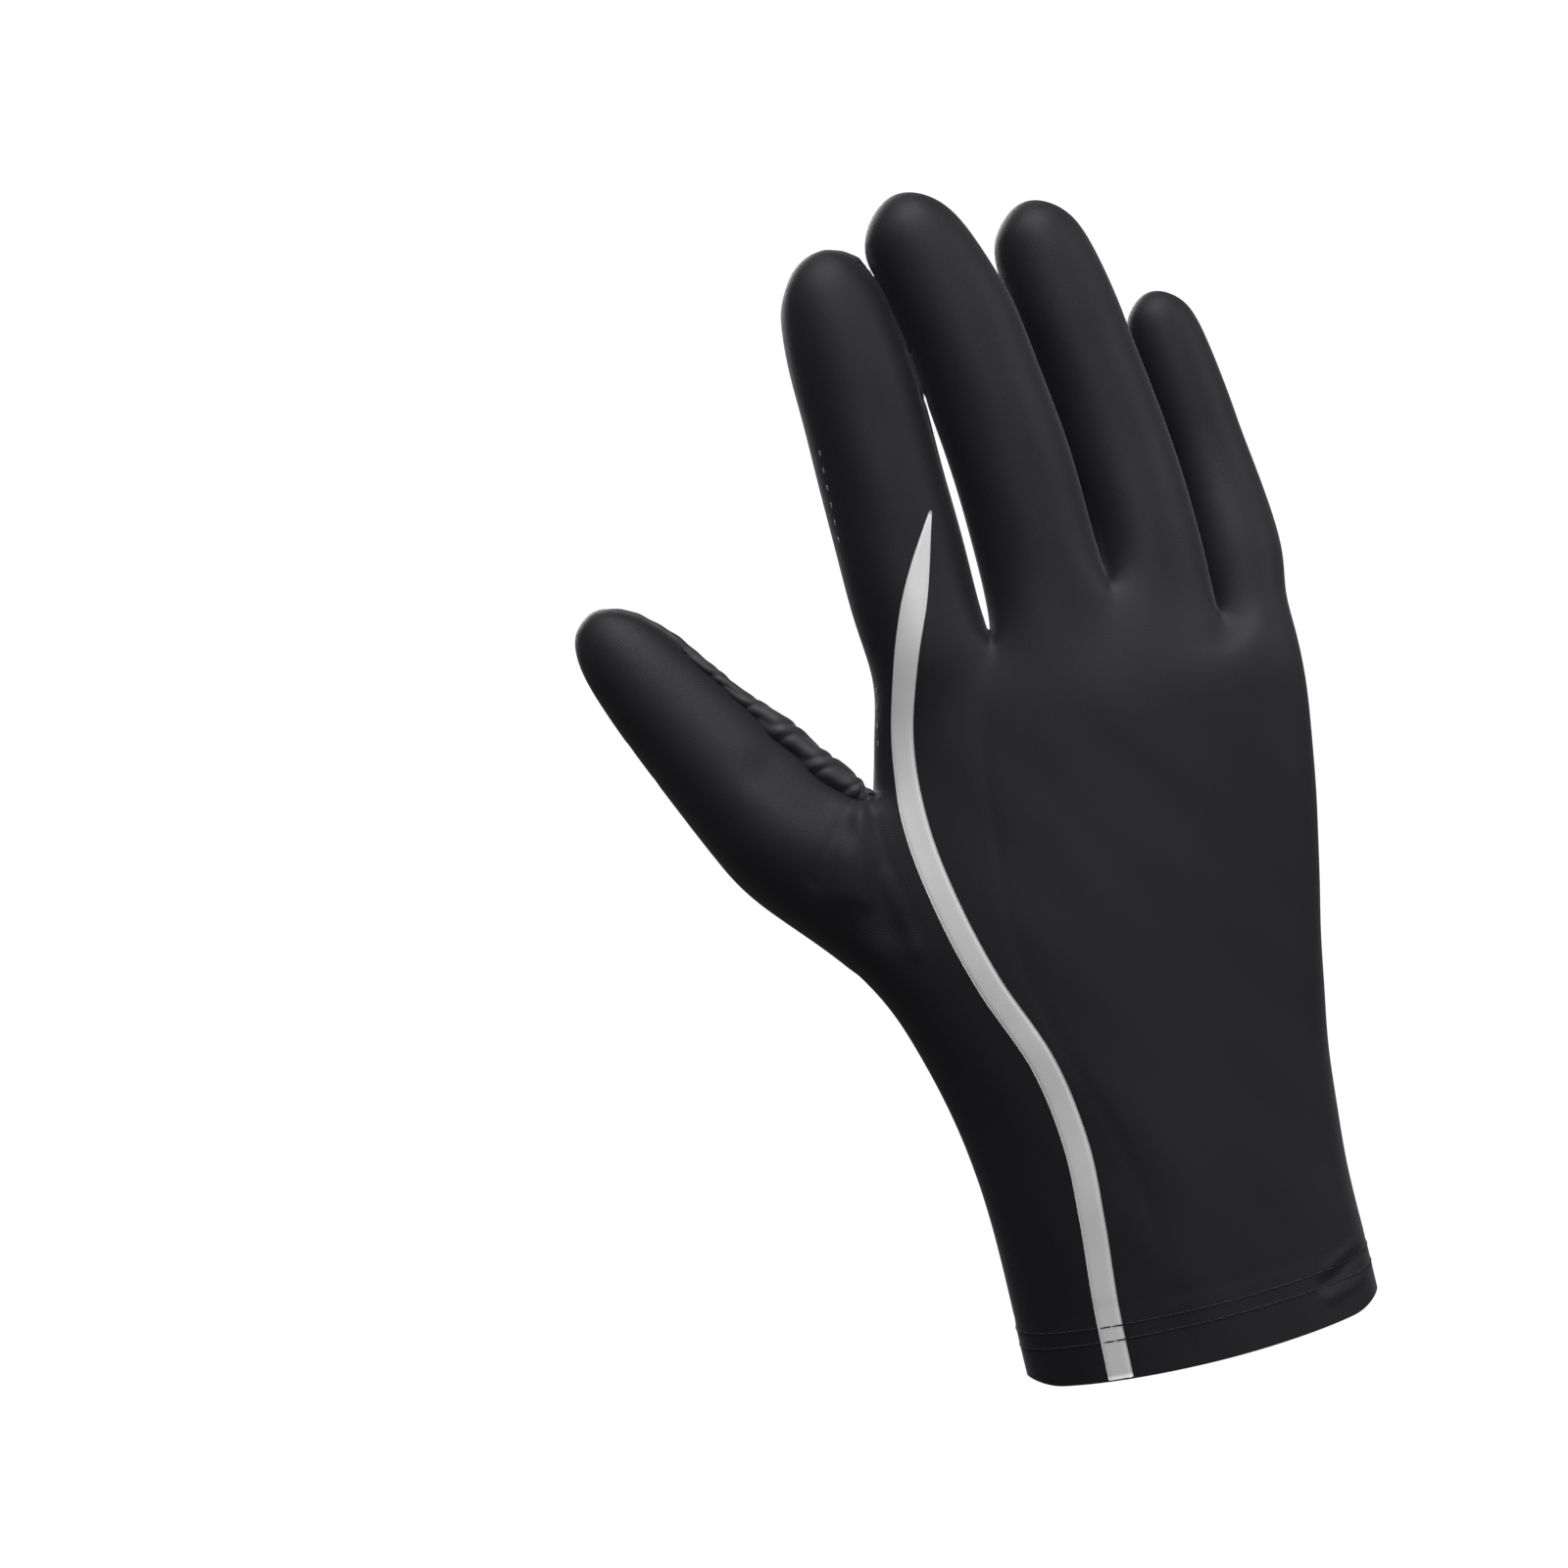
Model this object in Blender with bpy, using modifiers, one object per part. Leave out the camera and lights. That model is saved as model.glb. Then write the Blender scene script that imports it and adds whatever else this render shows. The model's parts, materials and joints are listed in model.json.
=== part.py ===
"""A right-hand sun protection glove of thin stretch cloth, standing on its cuff.

The origin is the middle of the wrist opening. +Z runs up the hand to the fingertips,
-Y is the back of the hand and -X is the thumb's side. Units are metres.

One coarse cage has the form of the whole glove. Subdivision Surface rounds it into a skin, and each
cloth piece is the share of that skin between its seams, given its own wall.
"""

from collections import namedtuple
from math import acos, cos, pi, radians, sin

import bmesh
import bpy
import numpy as np
from mathutils import Vector
from mathutils.bvhtree import BVHTree

mm = 0.001

# Hand
cuff_width = 70 * mm
cuff_depth = 42 * mm
palm_width = 86 * mm
palm_depth = 29 * mm
palm_height = 145 * mm
hem_height = 12 * mm

# Fingers
finger_length = 86.5 * mm
finger_width = 0.2837 * palm_width
index_opening_length = 26 * mm
index_hem_height = 5 * mm

# Thumb
thumb_length = 67 * mm
thumb_width = 29 * mm
thumb_lean = radians(29.5)
thumb_swing = radians(12)
thumb_opening_length = 28 * mm
thumb_hem_height = 7 * mm

# Cloth
cloth = 1.2 * mm
hem_cloth = 2.0 * mm
seam_gap = 0.3 * mm
stripe_width = 5 * mm
stripe_cloth = 0.5 * mm
stripe_gap = 0.5 * mm

# The hand's rows, from the top of the hem up. up is a share of the way from there to the finger roots.
# width and depth are shares of the way from the cuff's size to the palm's. shift, to the little finger,
# and lift, to the back of the hand, are shares of the palm's width and depth. side is the angle of the
# thumb side's first columns, and seam is the back seam's place as a share of the half width.
Row = namedtuple("Row", "up width shift depth lift side seam")
hand_rows = (
    Row(0.000, 0.00, 0.003, 0.04, 0.00, radians(18), -0.08),
    Row(0.135, -0.05, 0.006, 0.15, 0.02, radians(18), -0.07),
    Row(0.286, 0.19, 0.008, 0.38, 0.05, radians(18), -0.23),
    Row(0.421, 0.70, -0.002, 0.62, 0.08, radians(24), -0.35),
    Row(0.541, 1.34, -0.021, 0.77, 0.10, radians(34), -0.34),
    Row(0.669, 1.28, 0.026, 0.92, 0.10, radians(40), -0.41),
    Row(0.790, 1.14, 0.068, 1.04, 0.10, radians(34), -0.49),
    Row(0.880, 0.97, 0.094, 1.13, 0.10, radians(26), -0.48),
)
little_side = radians(18)
hand_roundness = 0.9
seam_column = 2
# The thumb grows out of three rings of points, the last of them level with the table's next to last row.
rows_below_thumb = len(hand_rows) - 3

# The five boundaries of the four finger roots, as shares of the palm's width, height and depth.
Root = namedtuple("Root", "across up sink")
finger_roots = (
    Root(-0.373, 0.960, 0.00),
    Root(-0.083, 0.970, 0.00),
    Root(0.205, 1.020, 0.03),
    Root(0.430, 0.930, 0.16),
    Root(0.598, 0.945, 0.22),
)
web_rise = 0.03

# The fingers. length and width are shares of the named sizes, and base is the width at the root as a share
# of the finger's own. lean, bow, sink and curl are shares of its own length: where the tip leans, how the
# middle bows, and how it sinks and curls to the palm.
Finger = namedtuple("Finger", "length width base lean bow sink curl twist")
fingers = (
    Finger(0.975, 1.000, 1.01, -0.006, -0.006, 0.000, 0.04, radians(-14)),
    Finger(1.000, 0.965, 0.98, -0.110, 0.040, 0.000, 0.04, 0.0),
    Finger(0.955, 0.820, 0.88, -0.076, 0.018, 0.068, 0.05, 0.0),
    Finger(0.755, 0.640, 0.90, -0.052, 0.014, 0.140, 0.04, 0.0),
)
finger_roundness = 0.94
sink_share = 0.45
twist_share = 0.6
crotch_depth = 0.72

# Points round the cage. Every finger takes two columns of the palm's points and two of the back's.
face_points = 2 * len(fingers) + 1
hand_points = 2 * face_points + 2
digit_points = 8

# Rings along a finger and the thumb. Body rings are shares of the length, and tip rings lie shares of
# the width below the tip.
Ring = namedtuple("Ring", "place width")
finger_body = (Ring(0.13, 1.00), Ring(0.33, 1.00))
finger_opening = (0.97, 0.96)
finger_tip = (Ring(0.58, 0.88), Ring(0.23, 0.66))
thumb_body = (Ring(0.00, 1.00), Ring(0.17, 0.95), Ring(0.32, 0.89))
thumb_opening = (0.81, 0.76)
thumb_tip = (Ring(0.56, 0.67), Ring(0.23, 0.52))
tip_rise = 0.14
pad_half_angle = radians(50)
thumb_set = 0.1

# The main folds of the cloth, each a ridge, or a dent where the height is below zero, between two places on
# the palm (face 1) or the back (face -1). height and width are shares of the named fold sizes.
fold_height = 1.4 * mm
fold_width = 5 * mm
Fold = namedtuple("Fold", "up across to_up to_across face height width")
folds = (
    Fold(0.92, -0.60, 0.83, -0.45, 1, 1.0, 1.0),
    Fold(0.88, -0.64, 0.78, -0.50, -1, -0.8, 0.9),
    Fold(0.80, -0.47, 0.70, -0.54, -1, 0.9, 0.8),
    Fold(0.80, -0.44, 0.64, -0.46, -1, -0.6, 0.8),
    Fold(0.45, 0.36, 0.12, 0.33, 1, 1.0, 1.1),
    Fold(0.30, 0.22, 0.10, 0.24, 1, -0.7, 1.1),
)

# The stripe's middle line from the hem to the index finger, as shares of the palm's height and width.
Point = namedtuple("Point", "up across")
stripe_line = (
    Point(0.008, -0.206),
    Point(0.093, -0.200),
    Point(0.199, -0.185),
    Point(0.306, -0.179),
    Point(0.418, -0.207),
    Point(0.537, -0.281),
    Point(0.652, -0.329),
    Point(0.763, -0.351),
    Point(0.870, -0.336),
    Point(0.970, -0.288),
    Point(1.068, -0.220),
    Point(1.160, -0.150),
)
stripe_point_share = 0.88
stripe_narrowing = 0.85
stripe_point_power = 1.5
stripe_steps = 4
stripe_points = 5

least_corner = 0.5
crease_angle = radians(50)
flat_tolerance = 0.01 * mm

Finish = namedtuple("Finish", "colour roughness metallic")
knit_finish = Finish((0.012, 0.012, 0.014, 1), 0.78, 0.0)
hem_finish = Finish((0.016, 0.016, 0.018, 1), 0.72, 0.0)
stripe_finish = Finish((0.55, 0.55, 0.56, 1), 0.38, 0.25)

PALM, SIDE, BACK, CUFF, THUMB, INDEX_HEM, THUMB_HEM, OPEN = range(8)


def clear_scene():
    for obj in list(bpy.data.objects):
        bpy.data.objects.remove(obj)


def material(name, finish):
    made = bpy.data.materials.new(name)
    made.use_nodes = True
    shader = made.node_tree.nodes["Principled BSDF"]
    shader.inputs["Base Color"].default_value = finish.colour
    shader.inputs["Roughness"].default_value = finish.roughness
    shader.inputs["Metallic"].default_value = finish.metallic
    return made


def cage_size(size, points):
    """The cage size whose ring of so many points is this size once it is subdivided."""
    return size / (0.75 + 0.25 * cos(2 * pi / points))


def hand_ring(row, height):
    """A ring round the hand, from the little finger's side over the palm and back over the back."""
    half_width = cage_size(cuff_width + (palm_width - cuff_width) * row.width, hand_points) / 2
    half_depth = cage_size(cuff_depth + (palm_depth - cuff_depth) * row.depth, hand_points) / 2
    centre = Vector((row.shift * palm_width, -row.lift * palm_depth, height))
    seam = acos(-row.seam)
    back = list(np.linspace(row.side, seam, seam_column + 1))
    back += list(np.linspace(seam, pi - little_side, face_points - seam_column))[1:]
    palm = list(np.linspace(row.side, pi - little_side, face_points))

    def at(angle, face):
        across = -half_width * cos(angle)
        deep = face * half_depth * sin(angle) ** hand_roundness
        return centre + Vector((across, deep, 0))

    reach = Vector((half_width, 0, 0))
    palm_side = [centre + reach] + [at(a, 1) for a in reversed(palm)]
    return palm_side + [centre - reach] + [at(a, -1) for a in back]


def root_places():
    """Where each finger boundary and each finger's middle lies, across the hand."""
    marks = [
        Vector((r.across * palm_width, (r.sink - hand_rows[-1].lift) * palm_depth, r.up * palm_height))
        for r in finger_roots
    ]
    places = []
    for left, right in zip(marks, marks[1:]):
        places += [left, (left + right) / 2]
    return places + [marks[-1]]


def finger_cage_radius(finger):
    return cage_size(finger.width * finger_width, digit_points) / 2


def root_ring(places):
    """The hand's last ring, where the fingers begin, and the three webs between them."""
    back, palm = [], []
    last = len(places) - 1
    for column, place in enumerate(places):
        near = [fingers[max(0, (column - 1) // 2)], fingers[min(len(fingers) - 1, column // 2)]]
        radius = sum(finger_cage_radius(finger) for finger in near) / 2
        middle = column % 2 == 1
        outer = {0: 1, last: -1}.get(column, 0)
        across = outer * (1 - cos(2 * pi / digit_points)) * radius
        deep = radius * (1.0 if middle else crotch_depth)
        drop = 0 if middle or outer else web_rise * palm_height
        back.append(place + Vector((across, -deep, -drop)))
        palm.append(place + Vector((across, deep, -drop)))
    return [places[last]] + palm[::-1] + [places[0]] + back


def ring(centre, along, toward, half_width, half_depth, angles):
    """Points round a centre, square to the direction along, with the first angle's axis near toward."""
    across = (toward - along * toward.dot(along)).normalized()
    deep = along.cross(across)
    return [centre + across * half_width * cos(a) + deep * half_depth * sin(a) for a in angles]


def digit_angles(first=0.0):
    """The even angles of a digit's points, from the first one on."""
    return [first + step * 2 * pi / digit_points for step in range(digit_points)]


def opened(angles, pad, half):
    """The angles with those beside the pad's middle moved to half the opening's angle."""
    return [*angles[: pad - 1], angles[pad] - half, angles[pad], angles[pad] + half, *angles[pad + 2 :]]


def stations(length, width, body, opening, tip, opening_length, opening_hem):
    """Distances and widths of a digit's rings: its body, its opening's hem and its tip."""
    found = [(r.place * length, r.width) for r in body]
    found.append((length - opening_length - opening_hem, opening[0]))
    found.append((length - opening_length, opening[1]))
    return found + [(length - r.place * width, r.width) for r in tip]


def eased(t):
    """From 0 to 1, starting and ending level."""
    t = min(1.0, t)
    return t * t * (3 - 2 * t)


def finger_rings(finger, root):
    """A finger's rings above its root, and its tip."""
    length = finger.length * finger_length
    width = finger.width * finger_width

    def centre(place):
        t = place / length
        early = eased(t / sink_share)
        across = finger.lean * t + finger.bow * 4 * t * (1 - t)
        deep = finger.sink * early + finger.curl * t * t
        return root + Vector((across * length, deep * length, place))

    rings = []
    for place, share in stations(
        length, width, finger_body, finger_opening, finger_tip, index_opening_length, index_hem_height
    ):
        along = (centre(place + mm) - centre(place - mm)).normalized()
        twist = finger.twist * min(1.0, place / (twist_share * length))
        half_width = finger_cage_radius(finger) * share * (1 if rings else finger.base)
        half_depth = half_width * finger_roundness
        angles = digit_angles(twist)
        if finger is fingers[0]:
            angles = opened(angles, 2, pad_half_angle)
        rings.append(ring(centre(place), along, Vector((1, 0, 0)), half_width, half_depth, angles))
    return rings, centre(length + tip_rise * width)


def thumb_rings(web):
    """The thumb's rings, from a point level with its web, and its tip."""
    along = Vector((-sin(thumb_lean) * cos(thumb_swing), sin(thumb_swing), cos(thumb_lean) * cos(thumb_swing)))
    toward = Vector((cos(thumb_lean), 0, sin(thumb_lean)))
    rings = []
    for place, share in stations(
        thumb_length, thumb_width, thumb_body, thumb_opening, thumb_tip, thumb_opening_length, thumb_hem_height
    ):
        half_width = cage_size(thumb_width * share, digit_points) / 2
        centre = web + along * place - toward * (thumb_width / 2)
        half_depth = half_width * finger_roundness
        rings.append(ring(centre, along, toward, half_width, half_depth, digit_angles()))
    return rings, web + along * (thumb_length + tip_rise * thumb_width) - toward * (thumb_width / 2)


def add_tube(cage, lower, upper, tags):
    """Faces between two rings of the same number of points."""
    count = len(lower)
    for i in range(count):
        if tags[i] is not None:
            after = (i + 1) % count
            face = cage.faces.new((lower[i], lower[after], upper[after], upper[i]))
            face.material_index = tags[i]


def add_digit(cage, base, rings, tip, tags, hem_tags, open_tags, cap_tags):
    """A finger or the thumb: a tube on its base ring, closed at the tip by four faces."""
    lower = base
    hem_row = len(rings) - len(finger_tip) - 1
    for number, points in enumerate(rings):
        upper = [cage.verts.new(p) for p in points]
        row_tags = tags if number < hem_row else hem_tags if number == hem_row else open_tags
        add_tube(cage, lower, upper, row_tags)
        lower = upper
    end = cage.verts.new(tip)
    for quarter in range(digit_points // 2):
        first = 2 * quarter
        corners = (lower[first], lower[first + 1], lower[(first + 2) % digit_points], end)
        cage.faces.new(corners).material_index = cap_tags[quarter]


def make_cage():
    """The whole glove as a coarse cage, with each face marked with its cloth piece."""
    cage = bmesh.new()
    reach = palm_height - hem_height
    heights = [hem_height + row.up * reach for row in hand_rows]
    rings = [hand_ring(hand_rows[0], 0.0)]
    rings += [hand_ring(row, height) for row, height in zip(hand_rows, heights)]
    places = root_places()
    rings.append(root_ring(places))
    verts = [[cage.verts.new(p) for p in points] for points in rings]

    side = face_points + 1
    tags = [PALM] * side + [SIDE] * (seam_column + 1) + [BACK] * (face_points - seam_column)
    for number in range(len(verts) - 1):
        row_tags = list(tags) if number else [CUFF] * hand_points
        if number in (rows_below_thumb, rows_below_thumb + 1):
            row_tags[side - 1] = None
            row_tags[side] = None
        add_tube(cage, verts[number], verts[number + 1], row_tags)

    top = verts[-1]
    palm = top[side - 1 : 0 : -1]
    back = top[side + 1 :]
    webs = [top[side]] + [cage.verts.new(place) for place in places[2:-1:2]] + [top[0]]
    for number, finger in enumerate(fingers):
        left = 2 * number
        base = [webs[number + 1], palm[left + 2], palm[left + 1], palm[left]]
        base += [webs[number], back[left], back[left + 1], back[left + 2]]
        finger_rings_found, tip = finger_rings(finger, (places[left] + places[left + 2]) / 2)
        if number == 0:
            body = [PALM] * 4 + [SIDE] * 4
            hem = [INDEX_HEM] * 4 + [SIDE] * 4
            bared = [SIDE, OPEN, OPEN, SIDE] + [SIDE] * 4
            cap = [OPEN, OPEN, SIDE, SIDE]
        else:
            body = hem = bared = [PALM] * 4 + [BACK] * 4
            cap = [PALM, PALM, BACK, BACK]
        add_digit(cage, base, finger_rings_found, tip, body, hem, bared, cap)

    low, middle, high = verts[rows_below_thumb : rows_below_thumb + 3]
    base = [high[side], high[side - 1], middle[side - 1], low[side - 1]]
    base += [low[side], low[side + 1], middle[side + 1], high[side + 1]]
    web = high[side].co + Vector((0, thumb_set * palm_depth, 0))
    found, tip = thumb_rings(web)
    body = [THUMB] * 8
    hem = [THUMB_HEM] * 4 + [THUMB] * 4
    bared = [OPEN] * 3 + [THUMB] * 5
    add_digit(cage, base, found, tip, body, hem, bared, [OPEN, THUMB, THUMB, THUMB])
    return cage


def fold_rise(point, normal):
    """How far the folds lift the skin here: each falls away from its line as a bell curve."""
    rise = 0.0
    place = np.array((point.x, point.z))
    for fold in folds:
        start = np.array((fold.across * palm_width, fold.up * palm_height))
        run = np.array((fold.to_across * palm_width, fold.to_up * palm_height)) - start
        along = np.clip((place - start).dot(run) / run.dot(run), 0, 1)
        away = np.linalg.norm(place - start - run * along) / (fold.width * fold_width)
        facing = max(0.0, normal.y * fold.face)
        rise += fold.height * fold_height * facing * np.exp(-away * away)
    return rise


def make_skin(guides):
    """The cage rounded by one level of Subdivision Surface: points, normals, faces and marks."""
    cage = make_cage()
    mesh = bpy.data.meshes.new("glove_cage")
    cage.to_mesh(mesh)
    cage.free()
    guide = bpy.data.objects.new("glove_cage", mesh)
    guide.hide_render = True
    guide.display_type = "WIRE"
    guides.objects.link(guide)
    smooth = guide.modifiers.new("Rounded", "SUBSURF")
    smooth.levels = 1
    smooth.render_levels = 1
    bpy.context.view_layer.update()
    evaluated = guide.evaluated_get(bpy.context.evaluated_depsgraph_get())
    skin = bpy.data.meshes.new_from_object(evaluated)
    points = [v.co.copy() for v in skin.vertices]
    normals = [v.normal.copy() for v in skin.vertices]
    faces = [tuple(p.vertices) for p in skin.polygons]
    marks = [p.material_index for p in skin.polygons]
    bpy.data.meshes.remove(skin)
    for point, normal in zip(points, normals):
        if abs(point.z) < flat_tolerance:
            normal.z = 0
            normal.normalize()
        point += normal * fold_rise(point, normal)
    return points, normals, faces, marks


def edges_of(face):
    return [(face[i], face[(i + 1) % len(face)]) for i in range(len(face))]


def pulled_back(points, faces, seams):
    """Points moved away from the seams they lie on, by half the gap, within their own faces."""
    pulls = {}
    for face in faces:
        middle = sum((points[v] for v in face), Vector()) / len(face)
        for a, b in edges_of(face):
            if frozenset((a, b)) not in seams:
                continue
            along = (points[b] - points[a]).normalized()
            inward = middle - points[a]
            inward = (inward - along * inward.dot(along)).normalized()
            pulls.setdefault(a, []).append(inward)
            pulls.setdefault(b, []).append(inward)
    moved = {}
    for v, found in pulls.items():
        total = sum(found, Vector())
        if len(found) > 1:
            total = total / max(least_corner, 1 + found[0].dot(found[1]))
        moved[v] = points[v] + total * (seam_gap / 2)
    return moved


def cloth_piece(name, skin, mark, thickness, finish, collection):
    """The faces with one mark as a closed wall: the skin outside and the same faces one cloth inside."""
    points, normals, faces, marks = skin
    owner = {}
    for face, face_mark in zip(faces, marks):
        for a, b in edges_of(face):
            owner.setdefault(frozenset((a, b)), []).append(face_mark)
    own = [face for face, face_mark in zip(faces, marks) if face_mark == mark]
    rims = [
        (a, b) for face in own for a, b in edges_of(face) if owner[frozenset((a, b))].count(mark) == 1
    ]
    seams = {
        frozenset(edge)
        for edge in rims
        if any(other not in (mark, OPEN) for other in owner[frozenset(edge)])
    }
    moved = pulled_back(points, own, seams)

    shell = bmesh.new()
    outer, inner = {}, {}
    for v in sorted({v for face in own for v in face}):
        place = moved.get(v, points[v])
        outer[v] = shell.verts.new(place)
        inner[v] = shell.verts.new(place - normals[v] * thickness)
    for face in own:
        shell.faces.new([outer[v] for v in face])
        shell.faces.new([inner[v] for v in reversed(face)])
    for a, b in rims:
        shell.faces.new((outer[b], outer[a], inner[a], inner[b]))
    mesh = bpy.data.meshes.new(name)
    shell.to_mesh(mesh)
    shell.free()
    mesh.materials.append(finish)
    mesh.shade_smooth()
    mesh.set_sharp_from_angle(angle=crease_angle)
    obj = bpy.data.objects.new(name, mesh)
    collection.objects.link(obj)
    return obj


def smooth_line(points, steps):
    """A Catmull-Rom curve through the points, with so many steps between each two."""
    padded = np.array([2 * points[0] - points[1], *points, 2 * points[-1] - points[-2]])
    found = []
    for i in range(1, len(padded) - 2):
        a, b, c, d = padded[i - 1 : i + 3]
        for t in np.arange(steps) / steps:
            bend = (2 * b, c - a, 2 * a - 5 * b + 4 * c - d, 3 * b - a - 3 * c + d)
            found.append(sum(part * t**power for power, part in enumerate(bend)) / 2)
    return np.array(found + [padded[-2]])


def stripe(name, skin, finish, collection):
    """The tape along the side panel, laid a small gap above the skin and ending in a point."""
    points, _, faces, _ = skin
    surface = BVHTree.FromPolygons(points, faces)
    line = smooth_line(
        [np.array((p.across * palm_width, p.up * palm_height)) for p in stripe_line], stripe_steps
    )
    middles = []
    for across, up in line:
        place, normal, _, _ = surface.ray_cast(Vector((across, -cuff_width, up)), Vector((0, 1, 0)))
        middles.append((place, normal))
    tape = bmesh.new()
    sections = []
    last = len(middles) - 1
    for i, (place, normal) in enumerate(middles):
        along = (middles[min(last, i + 1)][0] - middles[max(0, i - 1)][0]).normalized()
        across = along.cross(normal).normalized()
        narrowing = max(0.0, i / last - stripe_point_share) / (1 - stripe_point_share)
        half = stripe_width / 2 * (1 - stripe_narrowing * narrowing**stripe_point_power)
        low, high = [], []
        for side in np.linspace(-1, 1, stripe_points):
            rest, facing, _, _ = surface.find_nearest(place + across * side * half)
            low.append(tape.verts.new(rest + facing * stripe_gap))
            high.append(tape.verts.new(rest + facing * (stripe_gap + stripe_cloth)))
        sections.append(low + high[::-1])
    for lower, upper in zip(sections, sections[1:]):
        add_tube(tape, lower, upper, [0] * len(lower))
    for end in (sections[0], sections[-1]):
        for i in range(stripe_points - 1):
            tape.faces.new((end[i], end[i + 1], end[-2 - i], end[-1 - i]))
    bmesh.ops.recalc_face_normals(tape, faces=tape.faces)
    mesh = bpy.data.meshes.new(name)
    tape.to_mesh(mesh)
    tape.free()
    mesh.materials.append(finish)
    obj = bpy.data.objects.new(name, mesh)
    collection.objects.link(obj)


def main():
    clear_scene()
    glove = bpy.data.collections.new("sun_protection_glove")
    guides = bpy.data.collections.new("guides")
    bpy.context.scene.collection.children.link(glove)
    bpy.context.scene.collection.children.link(guides)
    knit = material("stretch_knit", knit_finish)
    hem = material("folded_hem", hem_finish)
    tape = material("reflective_tape", stripe_finish)
    skin = make_skin(guides)
    cloth_piece("palm_panel", skin, PALM, cloth, knit, glove)
    cloth_piece("side_panel", skin, SIDE, cloth, knit, glove)
    cloth_piece("back_panel", skin, BACK, cloth, knit, glove)
    cloth_piece("thumb_panel", skin, THUMB, cloth, knit, glove)
    cloth_piece("cuff_hem", skin, CUFF, hem_cloth, hem, glove)
    cloth_piece("index_opening_hem", skin, INDEX_HEM, hem_cloth, hem, glove)
    cloth_piece("thumb_opening_hem", skin, THUMB_HEM, hem_cloth, hem, glove)
    stripe("reflective_stripe", skin, tape, glove)


main()
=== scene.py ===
# %% [markdown]
# # A sun protection glove
# The real object is a right-hand glove of thin, nearly black stretch knit, filled out by the hand that wears
# it. It has a folded cuff, a silver reflective tape that winds down its back, rubber grip dashes on the palm,
# and bared fingertips on the index finger and the thumb, whose hoods flip back.
# This lesson dresses the plain CAD solids of that glove. Everything is in metres and in the CAD's own frame:
# the origin is the middle of the wrist opening, +Z runs up the hand, -Y is the back of the hand and -X is
# the thumb's side.

import json

import bpy
import numpy as np
from mathutils import Matrix, Vector

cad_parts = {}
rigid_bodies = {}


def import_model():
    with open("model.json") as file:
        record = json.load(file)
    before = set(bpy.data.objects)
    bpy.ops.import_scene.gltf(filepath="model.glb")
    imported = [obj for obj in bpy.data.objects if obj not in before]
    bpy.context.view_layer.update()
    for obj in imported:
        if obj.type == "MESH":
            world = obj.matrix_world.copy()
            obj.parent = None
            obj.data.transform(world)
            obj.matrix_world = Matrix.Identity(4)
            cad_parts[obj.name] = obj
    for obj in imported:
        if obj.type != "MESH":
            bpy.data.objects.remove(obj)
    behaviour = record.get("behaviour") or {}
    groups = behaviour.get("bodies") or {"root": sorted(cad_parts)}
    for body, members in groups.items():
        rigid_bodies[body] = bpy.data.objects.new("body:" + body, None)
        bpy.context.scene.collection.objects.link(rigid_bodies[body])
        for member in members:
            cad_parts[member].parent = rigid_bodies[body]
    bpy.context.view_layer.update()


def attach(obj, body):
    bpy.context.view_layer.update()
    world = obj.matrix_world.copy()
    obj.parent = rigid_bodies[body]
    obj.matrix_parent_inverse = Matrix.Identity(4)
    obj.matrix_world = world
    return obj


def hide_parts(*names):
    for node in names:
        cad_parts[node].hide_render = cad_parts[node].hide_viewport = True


for startup_object in list(bpy.data.objects):
    bpy.data.objects.remove(startup_object)
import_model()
scene = bpy.context.scene
mm = 0.001

# %% [markdown]
# ## The sizes of the glove
# These repeat the named sizes and tables of the CAD source, because this script reads nothing but the packed
# frame. Lengths in the tables are shares of the named sizes, so the glove can be graded by a few numbers.

# %% Sizes
cuff_width, cuff_depth = 70 * mm, 42 * mm
palm_width, palm_depth, palm_height = 86 * mm, 29 * mm, 145 * mm
hem_height = 12 * mm
finger_length, finger_width = 86.5 * mm, 24.4 * mm
index_opening_length, index_hem_height = 26 * mm, 5 * mm
thumb_length, thumb_width = 67 * mm, 29 * mm
thumb_lean, thumb_swing = np.radians(29.5), np.radians(12)
thumb_opening_length, thumb_hem_height = 28 * mm, 7 * mm

# Columns: up, width, shift, depth, lift, angle of the thumb side's columns, place of the back seam.
hand_rows = np.array(
    [
        (0.000, 0.00, 0.003, 0.04, 0.00, 18, -0.08),
        (0.135, -0.05, 0.006, 0.15, 0.02, 18, -0.07),
        (0.286, 0.19, 0.008, 0.38, 0.05, 18, -0.23),
        (0.421, 0.70, -0.002, 0.62, 0.08, 24, -0.35),
        (0.541, 1.34, -0.021, 0.77, 0.10, 34, -0.34),
        (0.669, 1.28, 0.026, 0.92, 0.10, 40, -0.41),
        (0.790, 1.14, 0.068, 1.04, 0.10, 34, -0.49),
        (0.880, 0.97, 0.094, 1.13, 0.10, 26, -0.48),
    ]
)
# Columns: across, up, sink, for the five boundaries of the four finger roots.
finger_roots = np.array(
    [
        (-0.373, 0.960, 0.00),
        (-0.083, 0.970, 0.00),
        (0.205, 1.020, 0.03),
        (0.430, 0.930, 0.16),
        (0.598, 0.945, 0.22),
    ]
)
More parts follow.
